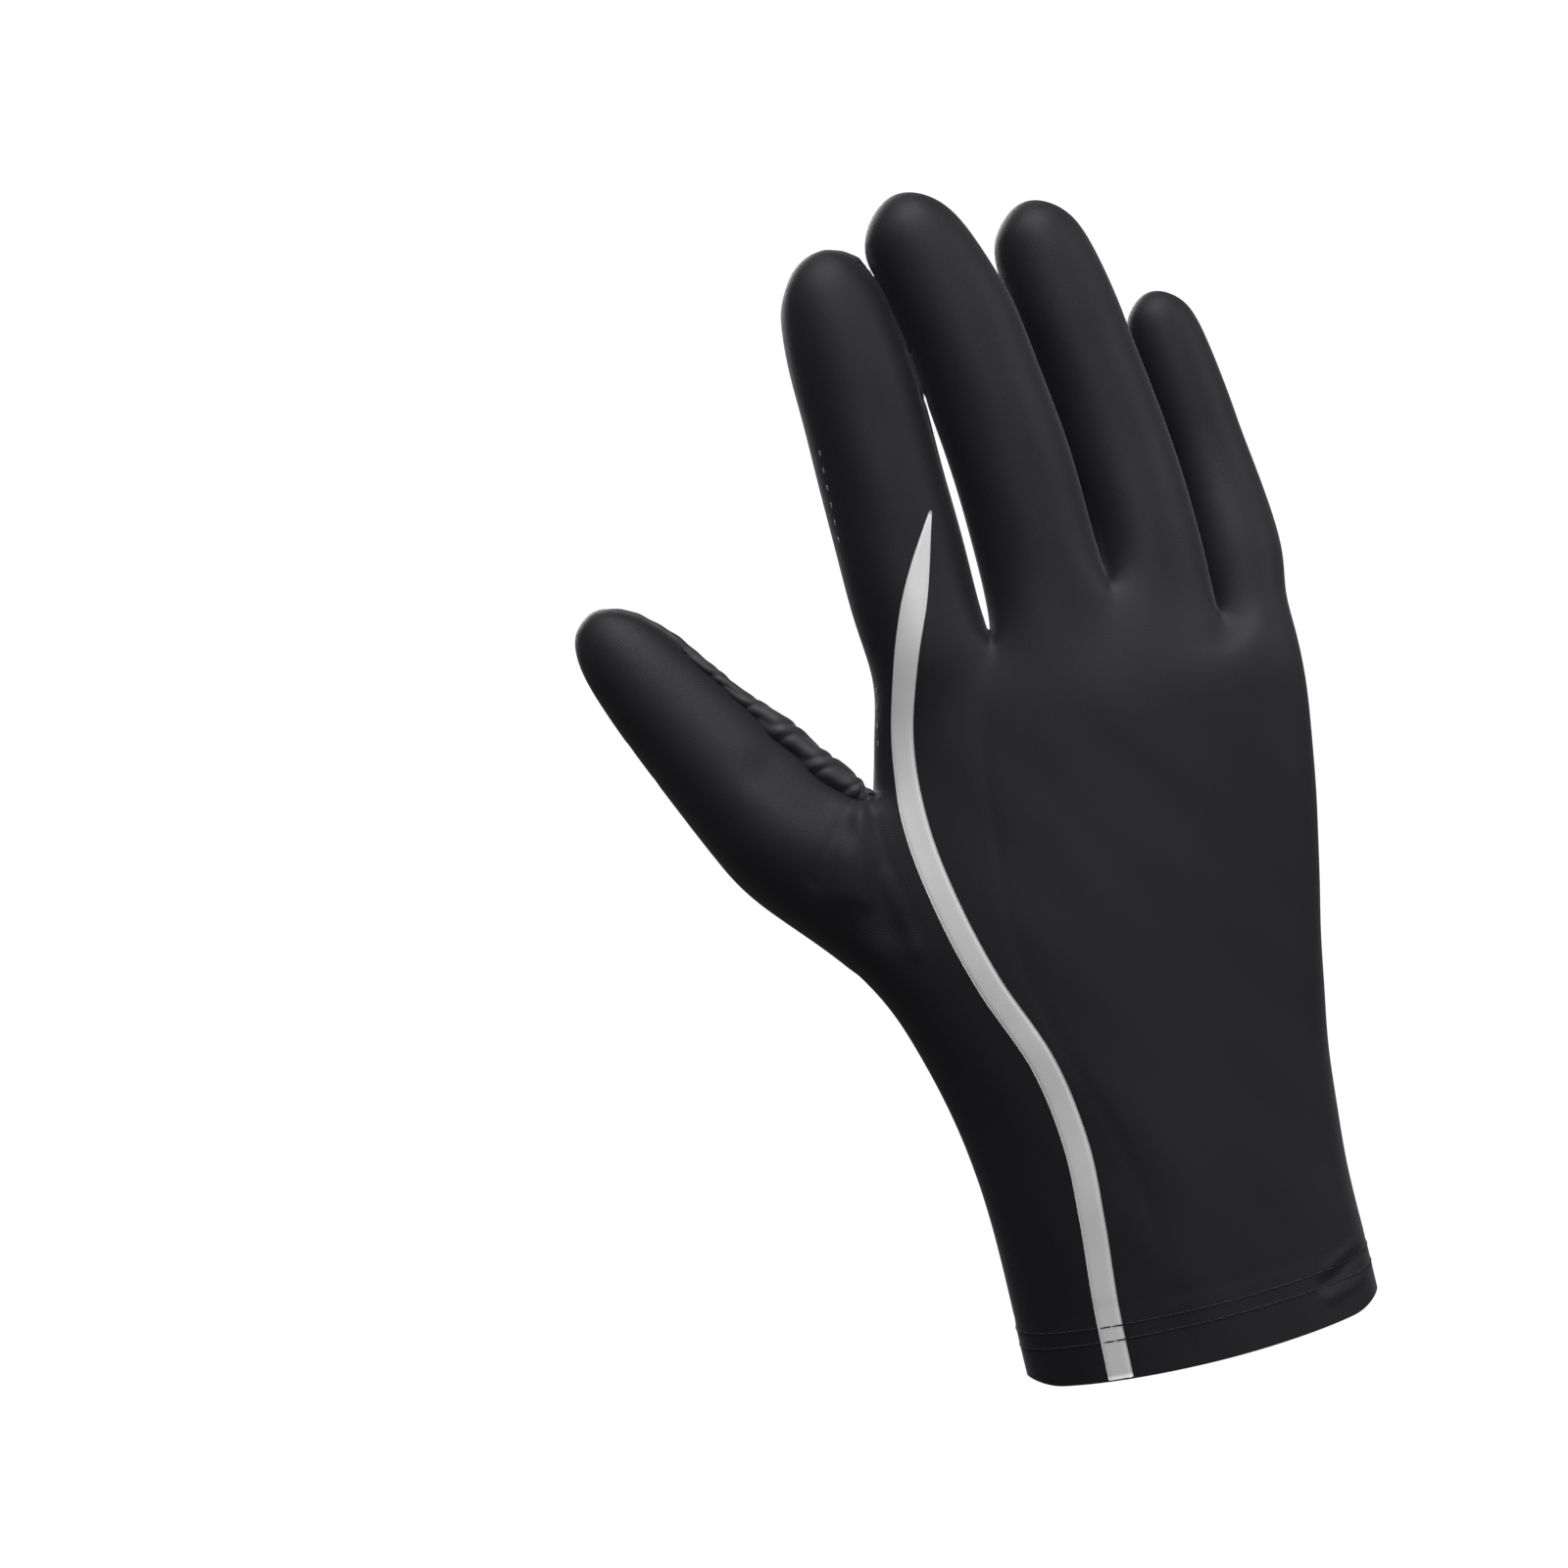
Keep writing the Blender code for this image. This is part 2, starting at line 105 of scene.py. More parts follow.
# Columns: length, width, base, lean, bow, sink, curl, twist in degrees, from the index to the little finger.
fingers = np.array(
    [
        (0.975, 1.000, 1.01, -0.006, -0.006, 0.000, 0.04, -14),
        (1.000, 0.965, 0.98, -0.110, 0.040, 0.000, 0.04, 0),
        (0.955, 0.820, 0.88, -0.076, 0.018, 0.068, 0.05, 0),
        (0.755, 0.640, 0.90, -0.052, 0.014, 0.140, 0.04, 0),
    ]
)
little_side = np.radians(18)
hand_roundness, finger_roundness = 0.9, 0.94
sink_share, twist_share, crotch_depth, web_rise, thumb_set = 0.45, 0.6, 0.72, 0.03, 0.1
face_points, hand_points, digit_points, seam_column, rows_below_thumb = 9, 20, 8, 2, 5
PALM, SIDE, BACK, CUFF, THUMB, INDEX_HEM, THUMB_HEM, OPEN = range(8)
print("fingers:", len(fingers), "hand rows:", len(hand_rows))

# %% [markdown]
# ## The cage of the hand
# A worn glove is one smooth skin, so its form starts as a coarse cage that Subdivision Surface rounds. A
# sculpted mesh would do too, but a cage of named rings can be measured and changed ring by ring.
# A subdivided ring ends up smaller than its cage, so every cage ring is made larger by that known share.


# %% The hand's rings
def unit(vectors):
    """Every vector divided by its own length."""
    return vectors / np.linalg.norm(vectors, axis=-1, keepdims=True)


def level_ends(share):
    """3 * share ** 2 - 2 * share ** 3, which goes from 0 to 1 and is level at both ends."""
    return share * share * (3 - 2 * share)


def cage_size(size, points):
    """The cage's ring for a rounded ring of this size: rounding shrinks it to 2/3 + cos(step) / 3."""
    return size / (2 / 3 + np.cos(2 * np.pi / points) / 3)


def hand_rings():
    """x = middle - half width * cos(angle) and y = middle + side * half depth * sin(angle) ** roundness."""
    up, width, shift, depth, lift, thumb_side, seam = hand_rows.T[..., None]
    height = hem_height + up * (palm_height - hem_height)
    half_width = cage_size(cuff_width + (palm_width - cuff_width) * width, hand_points) / 2
    half_depth = cage_size(cuff_depth + (palm_depth - cuff_depth) * depth, hand_points) / 2
    start, end, seam_angle = np.radians(thumb_side), np.pi - little_side, np.arccos(-seam)
    palm = start + (end - start) * np.linspace(1, 0, face_points)
    back_low = start + (seam_angle - start) * np.linspace(0, 1, seam_column + 1)
    back_high = seam_angle + (end - seam_angle) * np.linspace(0, 1, face_points - seam_column)[1:]
    level = np.ones_like(start)
    angles = np.hstack([level * np.pi, palm, level * 0, back_low, back_high])
    side = np.array([0] + [1] * face_points + [0] + [-1] * face_points)
    x = shift * palm_width - half_width * np.cos(angles)
    y = -lift * palm_depth + side * half_depth * np.abs(np.sin(angles)) ** hand_roundness
    rings = np.stack([x, y, height * np.ones_like(x)], axis=-1)
    return np.concatenate([rings[:1] * (1, 1, 0), rings])


hand = hand_rings()
print("hand rings:", hand.shape)


# %% [markdown]
# ## The roots of the fingers
# The last ring of the hand passes under the four fingers. It is deepest at each finger's middle and pinched
# between two fingers, where a web joins the palm to the back.


# %% The finger roots
finger_radius = cage_size(fingers[:, 1] * finger_width, digit_points) / 2


def read_line(at, run, line, period=None):
    """The line's points at these distances, each axis read by straight interpolation."""
    return np.stack([np.interp(at, run, axis, period=period) for axis in line.T], axis=1)


def root_ring():
    """The places across the hand, plus and minus the finger's radius in depth, pinched at every web."""
    across, up, sink = finger_roots.T
    marks = np.stack([across * palm_width, (sink - hand_rows[-1, 4]) * palm_depth, up * palm_height], axis=1)
    column = np.arange(face_points)
    places = read_line(column / 2, np.arange(len(marks)), marks)
    before, after = np.maximum(0, (column - 1) // 2), np.minimum(len(fingers) - 1, column // 2)
    radius = (finger_radius[before] + finger_radius[after]) / 2
    middle = column % 2 == 1
    outer = (column == 0).astype(float) - (column == face_points - 1)
    move_across = outer * (1 - np.cos(2 * np.pi / digit_points)) * radius
    deep = radius * np.where(middle, 1, crotch_depth)
    drop = np.where(middle | (outer != 0), 0, web_rise * palm_height)
    back = places + np.stack([move_across, -deep, -drop], axis=1)
    palm = places + np.stack([move_across, deep, -drop], axis=1)
    return places, np.concatenate([places[-1:], palm[::-1], places[:1], back])


finger_places, root = root_ring()
hand = np.concatenate([hand, root[None]])
print("finger roots at height, mm:", np.round(finger_places[::2, 2] / mm, 1))

# %% [markdown]
# ## The fingers and the thumb
# A digit is a row of ellipses square to its own curved axis, closed by a point at the tip. On the index
# finger and the thumb two columns of the cage follow the edge of the bared fingertip, so the hood gets a
# clean edge with no cutting: the columns open towards the tip, and the hood tapers as the real one does.

# %% The digits' tables
tip_rise = 0.19
digit_angles = np.arange(digit_points) * 2 * np.pi / digit_points
# Where the rings lie: shares of the length up from the root, and shares of the width back from the tip.
finger_root_shares, finger_tip_shares = (0.13, 0.33), (0.58, 0.23, -tip_rise)
thumb_root_shares, thumb_tip_shares = (0, 0.17, 0.32), (0.56, 0.23, -tip_rise)
# One row a finger, one column a ring: the share of the finger's width.
finger_widths = np.array(
    [
        (1.00, 1.00, 0.97, 0.96, 0.88, 0.69),
        (1.00, 1.00, 0.97, 0.96, 0.89, 0.77),
        (1.00, 1.00, 1.02, 1.05, 0.98, 0.80),
        (1.00, 1.00, 1.03, 1.05, 0.98, 0.78),
    ]
)
# One row a finger, one column a ring and the last one for the tip: the shift towards the thumb in mm.
finger_shifts = np.array(
    [
        (0.0, 0.0, 0.0, 0.4, 1.0, 1.3, 0.6),
        (0.0, 0.0, 0.0, 0.2, 0.8, 1.7, 0.2),
        (0.0, 0.0, 1.0, 1.1, 1.3, 1.7, 0.5),
        (0.0, 0.0, 0.5, 0.6, 0.8, 1.2, 0.4),
    ]
)
# How much wider each finger starts, where its cloth meets its neighbour's.
root_widening = (0.0, 0.0, 0.14, 0.20)
thumb_widths = np.array([1.00, 0.95, 0.89, 0.81, 0.76, 0.67, 0.52])
# Ring by ring, half the angle of the index finger's opening, and the two angles between which the
# thumb's opening lies.
index_half_angles = np.radians([45, 48, 53, 57, 63, 69])
thumb_open_start = np.radians([0, 0, 0, -4, -8, -10, -10])
thumb_open_end = np.radians([135, 135, 135, 137, 138, 122, 98])
# The first four columns of each thumb ring, as shares of the way between those two angles.
thumb_open_columns = np.array([(0, 1 / 3, 2 / 3, 1)] * 5 + [(0, 0.38, 0.78, 1), (0, 0.45, 0.92, 1)])
print("rings on a finger:", len(index_half_angles), "and on the thumb:", len(thumb_widths))


# %% The fingers' rings
def ellipses(centre, along, toward, half_width, angles):
    """centre + across * half width * cos(angle) + deep * half depth * sin(angle), for all rings at once."""
    across = unit(toward - along * np.sum(toward * along, axis=-1, keepdims=True))
    deep = np.cross(along, across)
    wide = (half_width[:, None] * np.cos(angles))[..., None]
    thick = (half_width[:, None] * finger_roundness * np.sin(angles))[..., None]
    return centre[:, None] + across[:, None] * wide + deep[:, None] * thick


def ring_places(length, width, opening_length, hem_width, root_shares, tip_shares):
    """Rings up from the root, at both edges of the hem below the opening, and back from the tip."""
    opening = length - opening_length
    body = [share * length for share in root_shares] + [opening - hem_width, opening]
    return np.array(body + [length - share * width for share in tip_shares])


def finger_cage(number):
    """Rings along an axis that leans, bows sideways as a parabola, sinks early and curls with the square."""
    length, width, base, lean, bow, sink, curl, twist = fingers[number]
    length, width = length * finger_length, width * finger_width
    start = (finger_places[2 * number] + finger_places[2 * number + 2]) / 2

    def axis(place):
        t = place / length
        across = (lean * t + bow * 4 * t * (1 - t)) * length
        deep = (sink * level_ends(np.minimum(1, t / sink_share)) + curl * t * t) * length
        return start + np.stack([across, deep, place], axis=-1)

    hem = index_opening_length, index_hem_height
    place = ring_places(length, width, *hem, finger_root_shares, finger_tip_shares)
    along = unit(axis(place + mm) - axis(place - mm))[:-1]
    angles = np.repeat(digit_angles[None], len(along), axis=0)
    angles += (np.radians(twist) * np.minimum(1, place[:-1] / (twist_share * length)))[:, None]
    if number == 0:
        angles[:, 1] = angles[:, 2] - index_half_angles
        angles[:, 3] = angles[:, 2] + index_half_angles
    half_width = finger_radius[number] * finger_widths[number]
    half_width[:2] *= base + root_widening[number], 1 + root_widening[number] / 2
    centres = axis(place)
    centres[:, 0] -= finger_shifts[number] * mm
    return ellipses(centres[:-1], along, np.array([1.0, 0, 0]), half_width, angles), centres[-1], place


# %% The thumb's rings
# The thumb leans out from the hand and swings towards the palm.
out_of_hand, to_palm = np.sin(thumb_lean) * np.cos(thumb_swing), np.sin(thumb_swing)
thumb_way = np.array([-out_of_hand, to_palm, np.cos(thumb_lean) * np.cos(thumb_swing)])
thumb_inwards = np.array([np.cos(thumb_lean), 0, np.sin(thumb_lean)])


def thumb_centres(web, place):
    """web + way * place - inwards * half the width, so the thumb's inner side starts at the web."""
    return web + thumb_way * place[:, None] - thumb_inwards * thumb_width / 2


def thumb_cage(web):
    """Rings along one straight, leaning axis."""
    hem = thumb_opening_length, thumb_hem_height
    place = ring_places(thumb_length, thumb_width, *hem, thumb_root_shares, thumb_tip_shares)
    rings = len(place) - 1
    angles = np.repeat(digit_angles[None], rings, axis=0)
    spans = (thumb_open_end - thumb_open_start)[:, None]
    angles[:, : thumb_open_columns.shape[1]] = thumb_open_start[:, None] + thumb_open_columns * spans
    centres = thumb_centres(web, place)
    half_width = cage_size(thumb_width * thumb_widths, digit_points) / 2
    along = np.repeat(thumb_way[None], rings, axis=0)
    return ellipses(centres[:-1], along, thumb_inwards, half_width, angles), centres[-1], place


print("the thumb points to", np.round(thumb_way, 3).tolist())

# %% [markdown]
# ## One cage, with a flat pattern on it
# The rings are joined into one mesh of quads. Every quad is marked with the cloth piece that it belongs to,
# and its corners get UV coordinates in metres, measured round the ring and up the glove. The knit's rows
# then keep their real size and follow the hand, the fingers and the thumb, as cut cloth does.

# %% Joining the rings
cage_points, cage_quads, cage_uvs, cage_marks = [], [], [], []
rows_past_hem = 2


def add_points(points):
    """Adds points and returns their numbers, in the same arrangement."""
    flat = np.asarray(points).reshape(-1, 3)
    first = sum(len(block) for block in cage_points)
    cage_points.append(flat)
    return np.arange(first, first + len(flat)).reshape(np.shape(points)[:-1])


def run_along(line):
    """The distance along a line from its first point, at each of its points."""
    return np.concatenate([[0], np.cumsum(np.linalg.norm(np.diff(line, axis=0), axis=1))])


def closed(ring):
    """The ring with its first point again at the end."""
    return np.concatenate([ring, ring[:1]])


def add_tube(lower, upper, low_ring, high_ring, low_v, high_v, middle, marks):
    """Quads between two rings. u is measured from the middle column of the quad's own half."""
    low_u, high_u = run_along(closed(low_ring)), run_along(closed(high_ring))
    after = np.roll(np.arange(len(lower)), -1)
    step = np.arange(len(lower))
    quads = np.stack([lower, lower[after], upper[after], upper], axis=1)
    us = [low_u[step], low_u[step + 1], high_u[step + 1], high_u[step]]
    us = np.stack([u - (low_u if side < 2 else high_u)[middle] for side, u in enumerate(us)], axis=1)
    vs = np.repeat([[low_v, low_v, high_v, high_v]], len(lower), axis=0)
    kept = marks >= 0
    cage_quads.append(quads[kept])
    cage_uvs.append(np.stack([us, vs], axis=-1)[kept])
    cage_marks.append(marks[kept])


def add_digit(base, base_points, rings, tip, base_v, place, marks, hem_marks, open_marks, cap_marks):
    """A tube from its base ring through its rings, and four quads round the tip."""
    quarter = digit_points // 4
    middle = np.where(np.arange(digit_points) < 2 * quarter, quarter, 3 * quarter)
    lower, low_ring, low_v = base, base_points, base_v
    row_marks = [marks] * (len(rings) - 1 - rows_past_hem) + [hem_marks] + [open_marks] * rows_past_hem
    for upper, ring, own_marks, high_v in zip(add_points(rings), rings, row_marks, base_v + place):
        add_tube(lower, upper, low_ring, ring, low_v, high_v, middle, own_marks)
        lower, low_ring, low_v = upper, ring, high_v
    end = add_points(tip[None])
    first = np.arange(0, digit_points, 2)
    corners = [lower[first], lower[first + 1], lower[(first + 2) % digit_points], end.repeat(len(first))]
    cage_quads.append(np.stack(corners, axis=1))
    around = run_along(closed(low_ring))
    us = np.stack([around[first], around[first + 1], around[first + 2], around[middle[first]]], axis=1)
    vs = np.repeat([[low_v, low_v, low_v, base_v + place[-1]]], len(first), axis=0)
    cage_uvs.append(np.stack([us - around[middle[first]][:, None], vs], axis=-1))
    cage_marks.append(np.array(cap_marks))


# %% The hand's faces
thumb_side = face_points + 1
hand_numbers = add_points(hand)
tags = np.array([PALM] * thumb_side + [SIDE] * (seam_column + 1) + [BACK] * (face_points - seam_column))
halves = np.where(np.arange(hand_points) < thumb_side, thumb_side // 2, thumb_side + thumb_side // 2)
for row in range(len(hand) - 1):
    row_tags = tags.copy() if row else np.full(hand_points, CUFF)
    if row in (rows_below_thumb, rows_below_thumb + 1):
        row_tags[[thumb_side - 1, thumb_side]] = -1
    heights = hand[row, :, 2].mean(), hand[row + 1, :, 2].mean()
    add_tube(hand_numbers[row], hand_numbers[row + 1], hand[row], hand[row + 1], *heights, halves, row_tags)
print("quads on the hand:", sum(len(block) for block in cage_quads))

# %% The fingers' faces
top = hand_numbers[-1]
palm_top, back_top = top[thumb_side - 1 : 0 : -1], top[thumb_side + 1 :]
web_numbers = [top[thumb_side], *add_points(finger_places[2:-1:2]), top[0]]
for number in range(len(fingers)):
    left = 2 * number
    base = [web_numbers[number + 1], *palm_top[left : left + 3][::-1], web_numbers[number]]
    base = np.array(base + list(back_top[left : left + 3]))
    rings, tip, place = finger_cage(number)
    body = hem = bared = np.array([PALM] * 4 + [BACK] * 4)
    cap = [PALM, PALM, BACK, BACK]
    if number == 0:
        body, hem = np.array([PALM] * 4 + [SIDE] * 4), np.array([INDEX_HEM] * 4 + [SIDE] * 4)
        bared, cap = np.array([SIDE, OPEN, OPEN, SIDE] + [SIDE] * 4), [OPEN, OPEN, SIDE, SIDE]
    known = np.concatenate(cage_points)
    add_digit(base, known[base], rings, tip, known[base][:, 2].mean(), place, body, hem, bared, cap)
print("quads with the fingers:", sum(len(block) for block in cage_quads))

# %% The thumb's faces
# The hole in the hand that the thumb grows out of, as rows up from its lowest and columns from its middle.
hole_rows = np.array([2, 2, 1, 0, 0, 0, 1, 2])
hole_columns = np.array([0, -1, -1, -1, 0, 1, 1, 1])
base = hand_numbers[rows_below_thumb + hole_rows, thumb_side + hole_columns]
known = np.concatenate(cage_points)
thumb_web = known[base[0]] + (0, thumb_set * palm_depth, 0)
rings, thumb_tip, thumb_place = thumb_cage(thumb_web)
body, hem = np.full(digit_points, THUMB), np.array([THUMB_HEM] * 4 + [THUMB] * 4)
bared, cap = np.array([OPEN] * 3 + [THUMB] * 5), [OPEN, THUMB, THUMB, THUMB]
add_digit(base, known[base], rings, thumb_tip, 0.0, thumb_place, body, hem, bared, cap)
cage_points, cage_quads = np.concatenate(cage_points), np.concatenate(cage_quads)
cage_uvs, cage_marks = np.concatenate(cage_uvs), np.concatenate(cage_marks)
print("cage:", len(cage_points), "points,", len(cage_quads), "quads")

# %% [markdown]
# ## Rounding the cage
# Subdivision Surface turns the cage into the skin of the glove. Its evaluated mesh is read back into arrays,
# and the cage itself is thrown away: all the cloth pieces are cut from this one skin, so they always meet.

# %% The rounded skin
skin_levels = 4


def new_mesh(name, points, quads, uvs=None):
    """A mesh from arrays of points and quads, smooth shaded, with an optional UV map."""
    mesh = bpy.data.meshes.new(name)
    mesh.vertices.add(len(points))
    mesh.vertices.foreach_set("co", np.ascontiguousarray(points, np.float32).ravel())
    mesh.loops.add(quads.size)
    mesh.loops.foreach_set("vertex_index", np.ascontiguousarray(quads, np.int32).ravel())
    mesh.polygons.add(len(quads))
    mesh.polygons.foreach_set("loop_start", np.arange(0, quads.size, quads.shape[1], dtype=np.int32))
    mesh.update(calc_edges=True)
    if uvs is not None:
        layer = mesh.uv_layers.new(name="cloth")
        layer.uv.foreach_set("vector", np.ascontiguousarray(uvs, np.float32).ravel())
    mesh.shade_smooth()
    return mesh


def new_object(name, data):
    """An object with this data, linked to the scene."""
    obj = bpy.data.objects.new(name, data)
    scene.collection.objects.link(obj)
    return obj


def read_array(items, attribute, size=1, kind=np.float32):
    """One attribute of all the items of a mesh, as one long array."""
    found = np.empty(len(items) * size, kind)
    items.foreach_get(attribute, found)
    return found


def rounded(points, quads, uvs, marks, levels):
    """The cage after Subdivision Surface: points, quads, UVs and marks as arrays."""
    mesh = new_mesh("glove_cage", points, quads, uvs)
    mesh.polygons.foreach_set("material_index", marks.astype(np.int32))
    cage = new_object("glove_cage", mesh)
    modifier = cage.modifiers.new("Rounded", "SUBSURF")
    modifier.levels = modifier.render_levels = levels
    bpy.context.view_layer.update()
    fine = cage.evaluated_get(bpy.context.evaluated_depsgraph_get()).to_mesh()
    fine_points = read_array(fine.vertices, "co", 3).reshape(-1, 3).astype(float)
    fine_quads = read_array(fine.loops, "vertex_index", kind=np.int32)
    fine_uvs = read_array(fine.uv_layers[0].uv, "vector", 2).reshape(-1, 4, 2)
    fine_marks = read_array(fine.polygons, "material_index", kind=np.int32)
    bpy.data.objects.remove(cage)
    bpy.data.meshes.remove(mesh)
    used, fine_quads = np.unique(fine_quads, return_inverse=True)
    return fine_points[used], fine_quads.reshape(-1, 4), fine_uvs, fine_marks


skin, quads, uvs, marks = rounded(cage_points, cage_quads, cage_uvs, cage_marks, skin_levels)
skin_box = np.round([skin.min(0) / mm, skin.max(0) / mm], 1)
print("skin:", len(skin), "points, from", skin_box[0], "to", skin_box[1], "mm")

# %% [markdown]
# ## Where the seams run
# A seam is a line of edges between two cloth pieces. The sewn line pulls the cloth in, so each point needs to
# know how far the nearest seam is. Comparing all points with all seam points in blocks is quick enough here.


# %% Seams and distances
def edge_table(faces):
    """Every side of every face as (start, end), the number of its face, and a number for its shared edge."""
    sides = np.stack([faces, np.roll(faces, -1, axis=1)], axis=-1).reshape(-1, 2)
    ordered = np.sort(sides, axis=1).astype(np.int64)
    _, edge = np.unique(ordered[:, 0] * (faces.max() + 1) + ordered[:, 1], return_inverse=True)
    return sides, np.repeat(np.arange(len(faces)), 4), edge.reshape(-1)


def normals_of(points, faces):
    """Point normals: the sum of the cross products of the diagonals of the faces round each point."""
    across = points[faces[:, 2]] - points[faces[:, 0]]
    other = points[faces[:, 3]] - points[faces[:, 1]]
    facing = np.cross(across, other)
    found = np.stack(
        [np.bincount(faces.ravel(), np.repeat(facing[:, axis], 4), len(points)) for axis in range(3)], axis=1
    )
    return unit(found)


sides, side_face, side_edge = edge_table(quads)
lowest = np.full(side_edge.max() + 1, OPEN + 1)
highest = np.full(side_edge.max() + 1, -1)
np.minimum.at(lowest, side_edge, marks[side_face])
np.maximum.at(highest, side_edge, marks[side_face])
low_mark, high_mark = lowest[side_edge], highest[side_edge]
print("edges between two pieces:", int((lowest != highest).sum()))

# %% [markdown]
# ## The edges of the openings
# The opening of a bared fingertip follows the cage's columns, so its edge has small corners where it changes
# column. The edge is put in order as one loop, measured out evenly, and averaged until it is a smooth arch.
# The cloth near it moves along, less and less with distance, and the straight hem below stays where it is.
# Only part of the move that would lift or sink the cloth is made, so the hood keeps its round back.


# %% The openings' loops
def loop_order(starts, ends):
    """The points of a closed loop of edges in order: each doubling adds as many steps as are known."""
    numbers = np.unique(starts)
    jump = np.searchsorted(numbers, ends[np.argsort(starts)])
    path = np.array([0])
    while len(path) < len(numbers):
        path = np.concatenate([path, jump[path]])
        jump = jump[jump]
    return numbers[path[: len(numbers)]]


def opening_loop(digit_marks):
    """The numbers of the skin points round the opening, in order, and whether each lies on the hem."""
    own = (marks[side_face] == OPEN) & np.isin(low_mark, digit_marks)
    loop = loop_order(sides[own, 0], sides[own, 1])
    hem = np.unique(sides[own & np.isin(low_mark, (INDEX_HEM, THUMB_HEM))])
    return loop, np.isin(loop, hem)


def eased_loop(points, times):
    """Each point of a closed line moved to the average of itself and its neighbours, again and again."""
    for _ in range(times):
        points = (np.roll(points, 1, axis=0) + 2 * points + np.roll(points, -1, axis=0)) / 4
    return points


def evenly_eased(line, samples, times):
    """The closed line measured out at even steps, eased, and read again at its own points."""
    run = run_along(closed(line))
    even = np.linspace(0, run[-1], samples, endpoint=False)
    eased = eased_loop(read_line(even, run, closed(line)), times)
    return read_line(run[:-1], even, eased, period=run[-1])


def nearest_of(points, targets, block=2000):
    """For each point the number of the nearest target and its distance, worked out in blocks."""
    numbers, gaps = [], []
    for part in np.array_split(points, len(points) // block + 1):
        squares = ((part[:, None] - targets[None]) ** 2).sum(-1)
        numbers.append(squares.argmin(1))
        gaps.append(np.sqrt(squares.min(1)))
    return np.concatenate(numbers), np.concatenate(gaps)


# %% Easing the openings
arch_samples, arch_easing, hem_hold, cloth_follow, skin_hold = 240, 230, 6 * mm, 3.5 * mm, 0.45
normals = normals_of(skin, quads)
for digit_marks in ((SIDE, INDEX_HEM), (THUMB, THUMB_HEM)):
    loop, on_hem = opening_loop(digit_marks)
    line = skin[loop]
    _, from_hem = nearest_of(line, line[on_hem])
    freedom = level_ends(np.minimum(1, from_hem / hem_hold))
    move = (evenly_eased(line, arch_samples, arch_easing) - line) * freedom[:, None]
    move -= skin_hold * normals[loop] * (move * normals[loop]).sum(1, keepdims=True)
    number, gap = nearest_of(skin, line)
    skin = skin + move[number] * np.exp(-((gap / cloth_follow) ** 2))[:, None]
    print("opening edge moved by up to", round(np.linalg.norm(move, axis=1).max() / mm, 2), "mm")
normals = normals_of(skin, quads)

# %% The seams' dips
# Each seam is named by the higher of its two marks, with its depth and its reach to both sides in mm.
seam_dips = {
    SIDE: (0.20, 1.2),
    BACK: (0.10, 1.4),
    CUFF: (0.05, 0.9),
    THUMB: (0.06, 1.8),
    INDEX_HEM: (0.16, 0.9),
    THUMB_HEM: (0.20, 0.9),
}
seam_rise = np.zeros(len(skin))
for mark, (dip, reach) in seam_dips.items():
    line = skin[np.unique(sides[(high_mark == mark) & (low_mark != mark)])]
    _, gap = nearest_of(skin, line)
    seam_rise -= dip * mm * np.exp(-((gap / (reach * mm)) ** 2))
print("deepest seam, mm:", round(-seam_rise.min() / mm, 2))

# %% [markdown]
# ## Folds
# Stretched knit lies smooth, but it gathers where the thumb leaves the hand and hangs in long soft folds at
# the wrist. Each fold is a line on the palm or the back, and the cloth rises or dips along it as a bell
# curve. The first six rows are the main folds of the CAD solids, and the rest are too fine for those.

# %% The folds' table
fold_height, fold_width = 1.4 * mm, 5 * mm
# Columns: up, across, to up, to across, face (1 palm, -1 back), height, width.
folds = np.array(
    [
        (0.92, -0.60, 0.83, -0.45, 1, 1.0, 1.0),
        (0.88, -0.64, 0.78, -0.50, -1, -0.8, 0.9),
        (0.80, -0.47, 0.70, -0.54, -1, 0.9, 0.8),
        (0.80, -0.44, 0.64, -0.46, -1, -0.6, 0.8),
        (0.45, 0.36, 0.12, 0.33, 1, 1.0, 1.1),
        (0.30, 0.22, 0.10, 0.24, 1, -0.7, 1.1),
        (0.81, -0.48, 0.72, -0.60, -1, -0.35, 0.30),
        (0.80, -0.46, 0.68, -0.50, -1, 0.35, 0.28),
        (0.79, -0.47, 0.60, -0.42, -1, 0.25, 0.30),
        (0.34, 0.44, 0.02, 0.42, 1, 0.5, 0.5),
        (0.40, 0.30, 0.05, 0.30, 1, -0.4, 0.5),
        (0.26, 0.38, 0.02, 0.36, 1, -0.45, 0.4),
        (0.050, 0.28, 0.078, 0.41, -1, -0.35, 0.22),
        (0.032, 0.29, 0.040, 0.40, -1, 0.25, 0.20),
        (0.066, 0.30, 0.090, 0.41, -1, 0.25, 0.20),
        (0.80, -0.44, 0.72, -0.44, -1, -0.25, 0.22),
        (0.79, -0.45, 0.74, -0.52, -1, 0.20, 0.20),
    ]
)


def fold_rise(points, facing):
    """The sum over folds of height * facing * exp(-(distance from the fold's line / width) squared)."""
    rise = np.zeros(len(points))
    flat = points[:, [0, 2]]
    for up, across, to_up, to_across, face, height, width in folds:
        start = np.array([across * palm_width, up * palm_height])
        run = np.array([to_across * palm_width, to_up * palm_height]) - start
        along = np.clip((flat - start) @ run / (run @ run), 0, 1)
        away = np.linalg.norm(flat - start - along[:, None] * run, axis=1) / (width * fold_width)
        rise += height * fold_height * np.maximum(0, facing[:, 1] * face) * np.exp(-away * away)
    return rise


